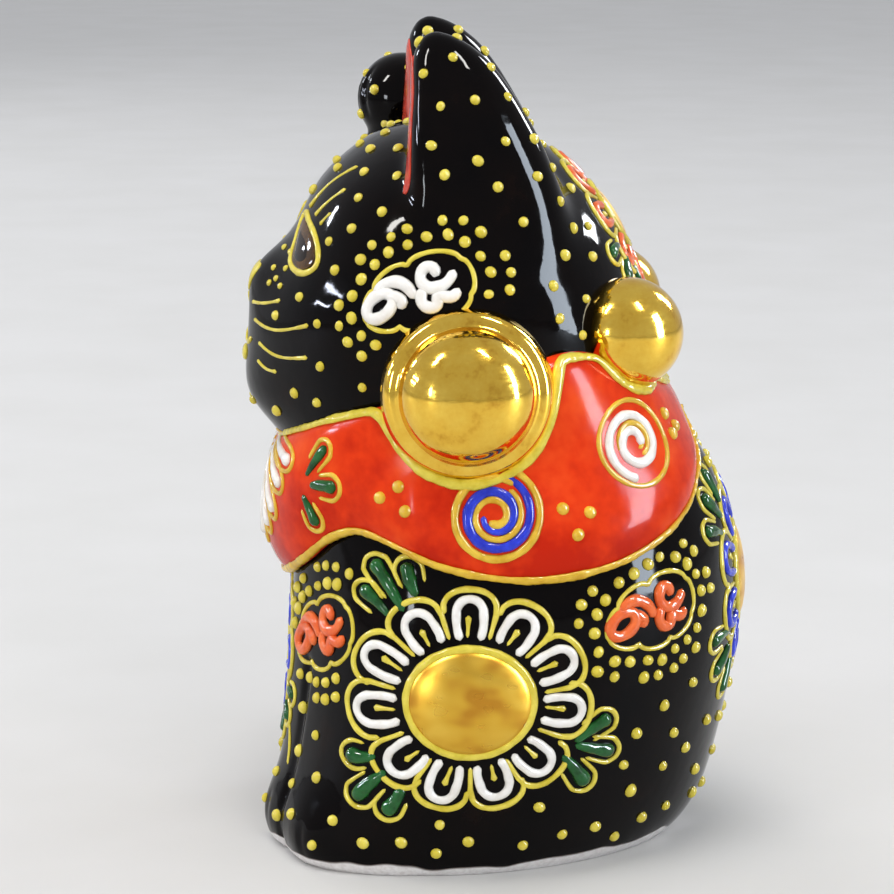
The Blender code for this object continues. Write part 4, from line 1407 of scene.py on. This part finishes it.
def build_spirals():
    """A blue and a white spiral with yellow on each side of the bib, and groups of three dots."""
    for side, word in SIDES:
        spot = Spot((33.0, 5.6, 53.0), (-1.0, 0.02, 0.0), side)
        blue, white = Enamel(f"{word}_blue_spiral", BLUE), Enamel(f"{word}_white_spiral", WHITE)
        gold = Enamel(f"{word}_spiral_lines", DEEP_YELLOW, "yellow_enamel")
        blue.line(spot, spiral((0.0, 0.0), 5.4, 1.5, 78.0, -1.72), (1.0, 1.4, 1.5, 1.5, 0.9))
        gold.line(spot, spiral((0.0, 0.0), 6.6, 5.0, 74.0, -1.05), (1.0, 1.2, 1.1))
        gold.line(spot, spiral((0.0, 0.0), 4.0, 0.9, 60.0, -1.55), (0.8, 1.0, 0.9, 1.4))
        spot = Spot((25.5, 24.8, 61.6), (-0.80, -0.60, -0.05), side)
        gold.line(spot, arc((0.0, 0.0), (6.0, 5.9), 0.0, 357.0), 0.8, closed=True)
        white.line(spot, spiral((0.0, 0.0), 4.9, 1.0, 262.0, -1.8), (1.3, 1.4, 1.5, 1.4))
        gold.line(spot, spiral((0.3, 0.1), 3.1, 1.9, 200.0, -0.75), (0.7, 1.0, 0.7))
        gold.line(spot, spiral((0.2, 0.0), 1.7, 0.9, 60.0, -0.35), (0.6, 0.8))
        dots = Enamel(f"{word}_bib_dots", DEEP_YELLOW, "yellow_enamel")
        for point in BIB_DOTS:
            dots.dot(*SURFACE.nearest(on_side(point, side)), 0.92)
        for enamel in (blue, gold, white, dots):
            enamel.build()


BIB_DOTS = (
    (30.4, -10.4, 54.8), (31.6, -7.8, 56.6), (32.6, -6.8, 53.3),
    (36.0, 15.5, 54.5), (35.0, 19.6, 53.7), (35.6, 17.6, 50.4),
    (20.8, 33.4, 66.2), (18.8, 34.6, 64.0), (21.2, 33.8, 63.2),
)
BIB_LEAVES = (
    ((-3.4, 0.8), (0.2, 5.4), 1.7),
    ((-2.4, -0.4), (2.6, -0.2), 2.2),
    ((-4.0, -2.0), (-1.6, -6.2), 1.9),
)


def build_bib_flower():
    """White drops fanning down the bib from under the chin, between looped lines, with leaves."""
    spot = Spot((0.0, -24.0, 60.0), (0.0, 1.0, 0.0))
    white = Enamel("bib_flower_petals", WHITE)
    gold = Enamel("bib_flower_lines", DEEP_YELLOW, "yellow_enamel")
    green = Enamel("bib_flower_leaves", GREEN)
    for angle in np.linspace(-172.0, -8.0, 11):
        reach = 16.6 + RNG.uniform(-0.5, 0.5)
        turn = angle + RNG.uniform(-1.5, 1.5)
        drop = shaped([(4.4, 0.0), (10.0, 0.1), (reach, 0.0)], turn=turn)
        white.line(spot, soft_path(drop), (0.6, 1.0, 2.0))
        loop = [(4.6, -0.8), (reach - 2.0, -1.8), (reach + 1.0, 0.0), (reach - 2.0, 1.8), (4.6, 0.8)]
        gold.line(spot, shaped(soft_path(loop), turn=turn), (0.5, 0.65, 0.8, 0.65, 0.5))
    for side, centre in ((1.0, (22.0, -16.5, 55.4)), (-1.0, (17.5, -19.5, 50.4))):
        beside = Spot(centre, (-0.70, 0.70, 0.0), side)
        for base, tip, width in BIB_LEAVES:
            leaf(green, gold, beside, base, tip, width)
    for enamel in (white, gold, green):
        enamel.build()


# ---------------------------------------------------------------- face, ears and paw

# Eye and inner ear: outline across and up. The rest of the face: points in space, on the left.
EYE = (
    (-5.4, 4.6), (-4.0, 1.9), (-2.2, -0.4), (-0.6, -2.2), (2.4, -3.1), (5.4, -3.0), (7.6, -1.6),
    (6.4, 0.6), (3.0, 2.6), (-1.6, 4.0),
)
INNER_EAR = (
    (-4.8, -0.6), (-4.6, 3.2), (-3.2, 7.4), (-1.2, 10.2), (0.6, 10.0), (2.7, 6.8), (4.8, 0.6),
    (6.4, -6.4), (6.0, -8.2), (4.4, -5.4), (1.6, -2.8),
)
NOSE = ((-2.7, 1.6), (0.0, 2.0), (2.7, 1.6), (1.5, -0.6), (0.0, -2.2), (-1.5, -0.6))
BROWS = (
    ((6.6, -20.0, 92.6), (7.9, -18.3, 94.8), (9.5, -16.0, 97.0), (11.6, -13.0, 99.0)),
    ((11.1, -19.1, 91.9), (12.4, -17.6, 93.7), (14.6, -14.7, 96.1)),
    ((14.2, -18.3, 90.9), (14.7, -17.6, 92.0), (15.4, -16.8, 92.8)),
)
WHISKERS = (
    ((4.2, -28.0, 78.6), (8.4, -26.6, 79.0), (13.0, -24.0, 80.0)),
    ((6.2, -28.2, 76.4), (13.6, -25.2, 75.9), (20.8, -20.0, 77.6)),
    ((8.8, -27.4, 73.4), (14.6, -24.6, 72.2), (20.5, -20.2, 73.0)),
    ((8.2, -27.0, 70.8), (11.0, -26.0, 69.9), (13.6, -24.6, 69.9)),
)
FORELEG_STROKE = ((13.0, -24.6, 18.6), (14.6, -24.8, 15.6), (15.2, -24.4, 12.6))
MUZZLE_DOTS = (
    (8.6, -22.6, 86.4), (10.2, -22.8, 84.0), (9.0, -24.2, 82.4), (6.6, -24.6, 83.6),
    (7.0, -23.6, 80.9), (5.0, -23.0, 86.2), (10.8, -22.6, 81.2),
)


def build_face():
    """Eyes, brows, whiskers, nose, mouth, muzzle dots and the stroke on each lowered paw."""
    gold, dots, leg = yellow("face_lines"), yellow("muzzle_dots"), yellow("foreleg_lines")
    iris, pupils = Enamel("eye_irises", AMBER), Enamel("eye_pupils", PUPIL)
    outline = soft_path(EYE, closed=True)
    for side, _ in SIDES:
        spot = Spot((11.0, -21.0, 87.3), (-0.25, 0.95, -0.15), side)
        iris.patch(spot, outline * 0.86, 0.45)
        pupils.patch(spot, shaped(outline, 0.6, move=(0.5, -0.2)), 0.6)
        gold.line(spot, outline, 1.0, closed=True)
        for brow in BROWS:
            gold.bead(*near_line(on_side(brow, side)), (0.9, 0.55, 0.45, 0.45, 0.75))
        for whisker in WHISKERS:
            gold.bead(*near_line(on_side(whisker, side)), (0.6, 0.5, 0.5, 0.45, 0.7))
        leg.bead(*near_line(on_side(FORELEG_STROKE, side)), (0.45, 0.6, 0.5))
        for point in MUZZLE_DOTS:
            dots.dot(*SURFACE.nearest(on_side(point, side)), 0.5)
    spot = Spot((0.0, -24.0, 82.0), (0.0, 1.0, 0.0))
    gold.patch(spot, soft_path(NOSE, closed=True), 0.35)
    gold.line(spot, ((0.0, -2.2), (0.0, -7.0)), 0.6)
    for side, _ in SIDES:
        smile = arc((side * 2.9, -7.0), (2.9, 2.4), 270.0 - side * 90.0, 270.0 + side * 55.0)
        gold.line(spot, smile, (0.6, 0.6, 0.8))
    gold.patch(spot, arc((0.0, -11.3), (2.3, 1.2), 0.0, 354.0), 0.6)
    for enamel in (gold, dots, leg, iris, pupils):
        enamel.build()


def build_inner_ears():
    """A red patch inside each ear."""
    red = Enamel("inner_ears", EAR_RED)
    turn = math.radians(EAR_TURN)
    for side, _ in SIDES:
        spot = Spot((17.0, -5.0, 104.5), (math.sin(turn), math.cos(turn), -0.05), side)
        red.patch(spot, soft_path(INNER_EAR, closed=True), 0.3)
    red.build()


build_flowers()
CLOUD_PLACES = build_clouds()
build_spirals()
build_bib_flower()
build_face()
build_inner_ears()


# ---------------------------------------------------------------- dots

# Dots round a cloud: how far each row is from its outline, and their radius. Dots over the rest of
# the skin: radius and the gap between neighbours, fine above the neck and wide below it.
CHEEK_ROWS, CHEEK_DOT = (2.0, 4.3), 0.80
BODY_ROWS, BODY_DOT = (1.9, 4.2), 0.86
ROW_PITCH = 2.7
FINE_DOT, FINE_GAP = 0.78, 2.9
WIDE_DOT, WIDE_GAP = 0.88, 3.1
SCATTER_TRIES = 14000
COVER_GAP = 1.4                 # from a dot to the bib, a bell or a ball
NECK_HEIGHT = 64.0
FOOT_CLEAR = 3.5                # no dot lies lower
FACE_HALF, FACE_FRONT, FACE_TOP = 12.0, -14.0, 93.0     # no scattered dot lies on the face
DOT_PIECES = {BODY: "body_dots", HEAD: "head_dots", LEFT_EAR: "ear_dots", RIGHT_EAR: "ear_dots",
              FORELEG: "raised_foreleg_dots"}
POINT_LABEL = np.zeros(len(SKIN[0]), int)
POINT_LABEL[SKIN[2].ravel()] = np.repeat(SKIN[3], 4)


def covered_tree():
    """What may hide the skin: the bib, bells and balls."""
    solids = [(BIB.reshape(-1, 3), [tuple(face) for face in BIB_FACES])]
    for side, _ in SIDES:
        solids += [gilt_bell(side, 32, 20), gilt_ball(side, 10, 24, 12)]
    return tree_of(*joined(solids))


COVER = covered_tree()


def on_bare_skin(place):
    """Whether a place is on the skin and clear of the bib and gilding."""
    distance = COVER.find_nearest(Vector(place))[3]
    return distance > COVER_GAP and not under_bib(place)


def under_bib(place):
    """Whether a place is between the bib's edges; the raised foreleg is outside the bib."""
    bearing = math.atan2(place[0], BIB_AXIS_Y - place[1])
    lower, upper = bib_edges([bearing])
    on_trunk = abs(place[0]) < 31.0 or place[1] > -8.0
    return on_trunk and lower[0] - 0.6 < place[2] < upper[0] + 0.6


def offset_points(outline, distance, pitch):
    """Even points at a distance outside a closed flat outline."""
    outline = even_steps(outline, closed=True, step=0.4)
    along = np.roll(outline, -1, axis=0) - np.roll(outline, 1, axis=0)
    aside = unit(np.column_stack((along[:, 1], -along[:, 0])))
    outward = outline - outline.mean(axis=0)
    aside *= np.sign(np.sum(aside * outward, axis=1))[:, None]
    moved = outline + aside * distance
    away = np.linalg.norm(moved[:, None] - outline[None], axis=2).min(axis=1)
    moved = moved[away > 0.94 * distance]
    return even_steps(moved, closed=True, step=pitch)


def dot_rows(enamel, spot, outline, distances, radius):
    """Rows of dots round a motif, each a little out of line."""
    for distance in distances:
        flat = offset_points(outline, distance, ROW_PITCH)
        flat = flat + RNG.uniform(-0.28, 0.28, flat.shape)
        for place, normal in zip(*spot.land(flat)):
            size = radius * RNG.uniform(0.86, 1.12)
            clear = STROKES.clear(place, size + 0.35) and DOTS.clear(place, size + 0.45)
            if clear and np.dot(normal, spot.looked) < -0.35 and on_bare_skin(place):
                enamel.dot(place, normal, size)


def build_cloud_dots():
    """Close rows of dots round the clouds."""
    for _, word in SIDES:
        rows = yellow(f"{word}_cloud_dots")
        for spot, edge, name in CLOUD_PLACES[word]:
            at_cheek = name == "cheek_cloud"
            distances, radius = (CHEEK_ROWS, CHEEK_DOT) if at_cheek else (BODY_ROWS, BODY_DOT)
            dot_rows(rows, spot, edge, distances, radius)
        rows.build()


def build_scattered_dots():
    """Sparse dots over the rest of the skin."""
    scatter = {name: yellow(name) for name in dict.fromkeys(DOT_PIECES.values())}
    points, normals, _, _ = SKIN
    for index in RNG.permutation(len(points))[:SCATTER_TRIES]:
        place, normal = points[index], normals[index]
        above = place[2] > NECK_HEIGHT
        size, gap = (FINE_DOT, FINE_GAP) if above else (WIDE_DOT, WIDE_GAP)
        radius = size * RNG.uniform(0.85, 1.12)
        on_face = above and abs(place[0]) < FACE_HALF and place[1] < FACE_FRONT and place[2] < FACE_TOP
        if place[2] < FOOT_CLEAR or on_face or normal[2] < -0.5:
            continue
        if not (DOTS.clear(place, radius + gap) and STROKES.clear(place, radius + 0.9)):
            continue
        if on_bare_skin(place):
            scatter[DOT_PIECES[max(BODY, POINT_LABEL[index])]].dot(place, normal, radius)
    for enamel in scatter.values():
        enamel.build()


build_cloud_dots()
build_scattered_dots()


# ---------------------------------------------------------------- stage, light and camera

FLOOR_REACH = 6.0


def build_stage():
    """The floor, which isn't part of the cat."""
    mesh = bpy.data.meshes.new("floor")
    corners = [(across * FLOOR_REACH, along * FLOOR_REACH, 0.0)
               for across, along in ((-1.0, -1.0), (1.0, -1.0), (1.0, 1.0), (-1.0, 1.0))]
    mesh.from_pydata(corners, [], [(0, 1, 2, 3)])
    mesh.materials.append(pale_floor())
    floor = bpy.data.objects.new("floor", mesh)
    bpy.context.scene.collection.objects.link(floor)


# Lamps: name, place, width, height in metres, brightness and colour. The softboxes shade the cat and
# the windows only shine in its glaze and gilding.
SOFTBOXES = (
    ("softbox_overhead", (0.25, -0.10, 1.20), 0.55, 0.55, 5.6, (1.0, 0.98, 0.95)),
    ("softbox_side", (1.00, 0.30, 0.80), 0.60, 0.60, 3.2, (1.0, 0.99, 0.97)),
    ("softbox_front", (0.75, -1.05, 0.55), 0.60, 0.60, 2.6, (1.0, 0.97, 0.93)),
    ("softbox_far", (-0.90, -0.55, 0.70), 0.70, 0.70, 2.2, (0.97, 0.98, 1.0)),
)
WINDOWS = (
    ("window_behind", (0.50, 1.20, 0.42), 0.30, 0.95, 60.0, (0.78, 0.88, 1.0)),
    ("window_cheek", (-0.10, -1.24, 0.45), 0.44, 0.025, 130.0, (0.78, 0.84, 1.0)),
    ("window_cheek_low", (-0.20, -1.27, 0.32), 0.30, 0.030, 130.0, (0.78, 0.84, 1.0)),
    ("lamp_front", (0.35, -0.77, 1.05), 0.09, 0.36, 110.0, (1.0, 0.98, 0.94)),
    ("lamp_rear", (0.48, 0.43, 1.19), 0.09, 0.36, 110.0, (1.0, 0.98, 0.94)),
    ("lamp_low", (0.90, -0.93, 0.22), 0.10, 0.18, 60.0, (0.90, 0.95, 1.0)),
    ("lamp_brow", (-0.74, -0.94, 0.52), 0.05, 0.14, 110.0, (0.86, 0.92, 1.0)),
    ("window_far", (-0.75, 0.95, 0.75), 0.22, 0.50, 60.0, (0.92, 0.96, 1.0)),
)
AIM = Vector((0.0, 0.003, 0.0563))


def build_lamp(name, place, width, height, brightness, colour):
    """One rectangular lamp turned to the cat."""
    light = bpy.data.lights.new(name, 'AREA')
    light.shape = 'RECTANGLE'
    light.size, light.size_y = width, height
    light.energy = brightness * math.pi * width * height
    light.color = colour
    lamp = bpy.data.objects.new(name, light)
    lamp.location = place
    lamp.rotation_mode = 'QUATERNION'
    lamp.rotation_quaternion = (AIM - Vector(place)).to_track_quat('-Z', 'Y')
    lamp.visible_camera = False
    bpy.context.scene.collection.objects.link(lamp)
    return lamp


def build_lights():
    """The softboxes and the windows."""
    for row in SOFTBOXES:
        build_lamp(*row).visible_glossy = False
    for row in WINDOWS:
        build_lamp(*row).visible_diffuse = False


def build_world():
    """Even grey light, dimmer in reflections so that the black glaze stays deep."""
    world = bpy.data.worlds.new("studio")
    world.use_nodes = True
    nodes, links = world.node_tree.nodes, world.node_tree.links
    ray = nodes.new("ShaderNodeLightPath")
    strength = nodes.new("ShaderNodeMapRange")
    strength.inputs["To Min"].default_value = 0.70
    strength.inputs["To Max"].default_value = 0.60
    links.new(ray.outputs["Is Glossy Ray"], strength.inputs["Value"])
    background = nodes["Background"]
    background.inputs["Color"].default_value = (0.93, 0.95, 1.0, 1.0)
    links.new(strength.outputs["Result"], background.inputs["Strength"])
    bpy.context.scene.world = world


CAMERA_BEARING = 88.3           # degrees round from straight ahead of the cat, towards its left
CAMERA_DROP = 10.5              # degrees that the camera looks down
CAMERA_REACH = 0.537
CAMERA_LENS = 147.0
CAMERA_TARGET = Vector((0.0, 0.0, 0.0563))


def build_camera():
    """The camera at the cat's left, looking slightly down."""
    camera = bpy.data.cameras.new("camera")
    camera.lens = CAMERA_LENS
    camera.clip_start = 0.05
    viewer = bpy.data.objects.new("camera", camera)
    bearing, drop = math.radians(CAMERA_BEARING), math.radians(CAMERA_DROP)
    level = math.cos(drop)
    back = Vector((math.sin(bearing) * level, -math.cos(bearing) * level, math.sin(drop)))
    viewer.location = CAMERA_TARGET + back * CAMERA_REACH
    viewer.rotation_mode = 'QUATERNION'
    viewer.rotation_quaternion = (-back).to_track_quat('-Z', 'Y')
    bpy.context.scene.collection.objects.link(viewer)
    bpy.context.scene.camera = viewer


build_stage()
build_lights()
build_world()
build_camera()
bpy.context.scene.view_settings.view_transform = 'Standard'
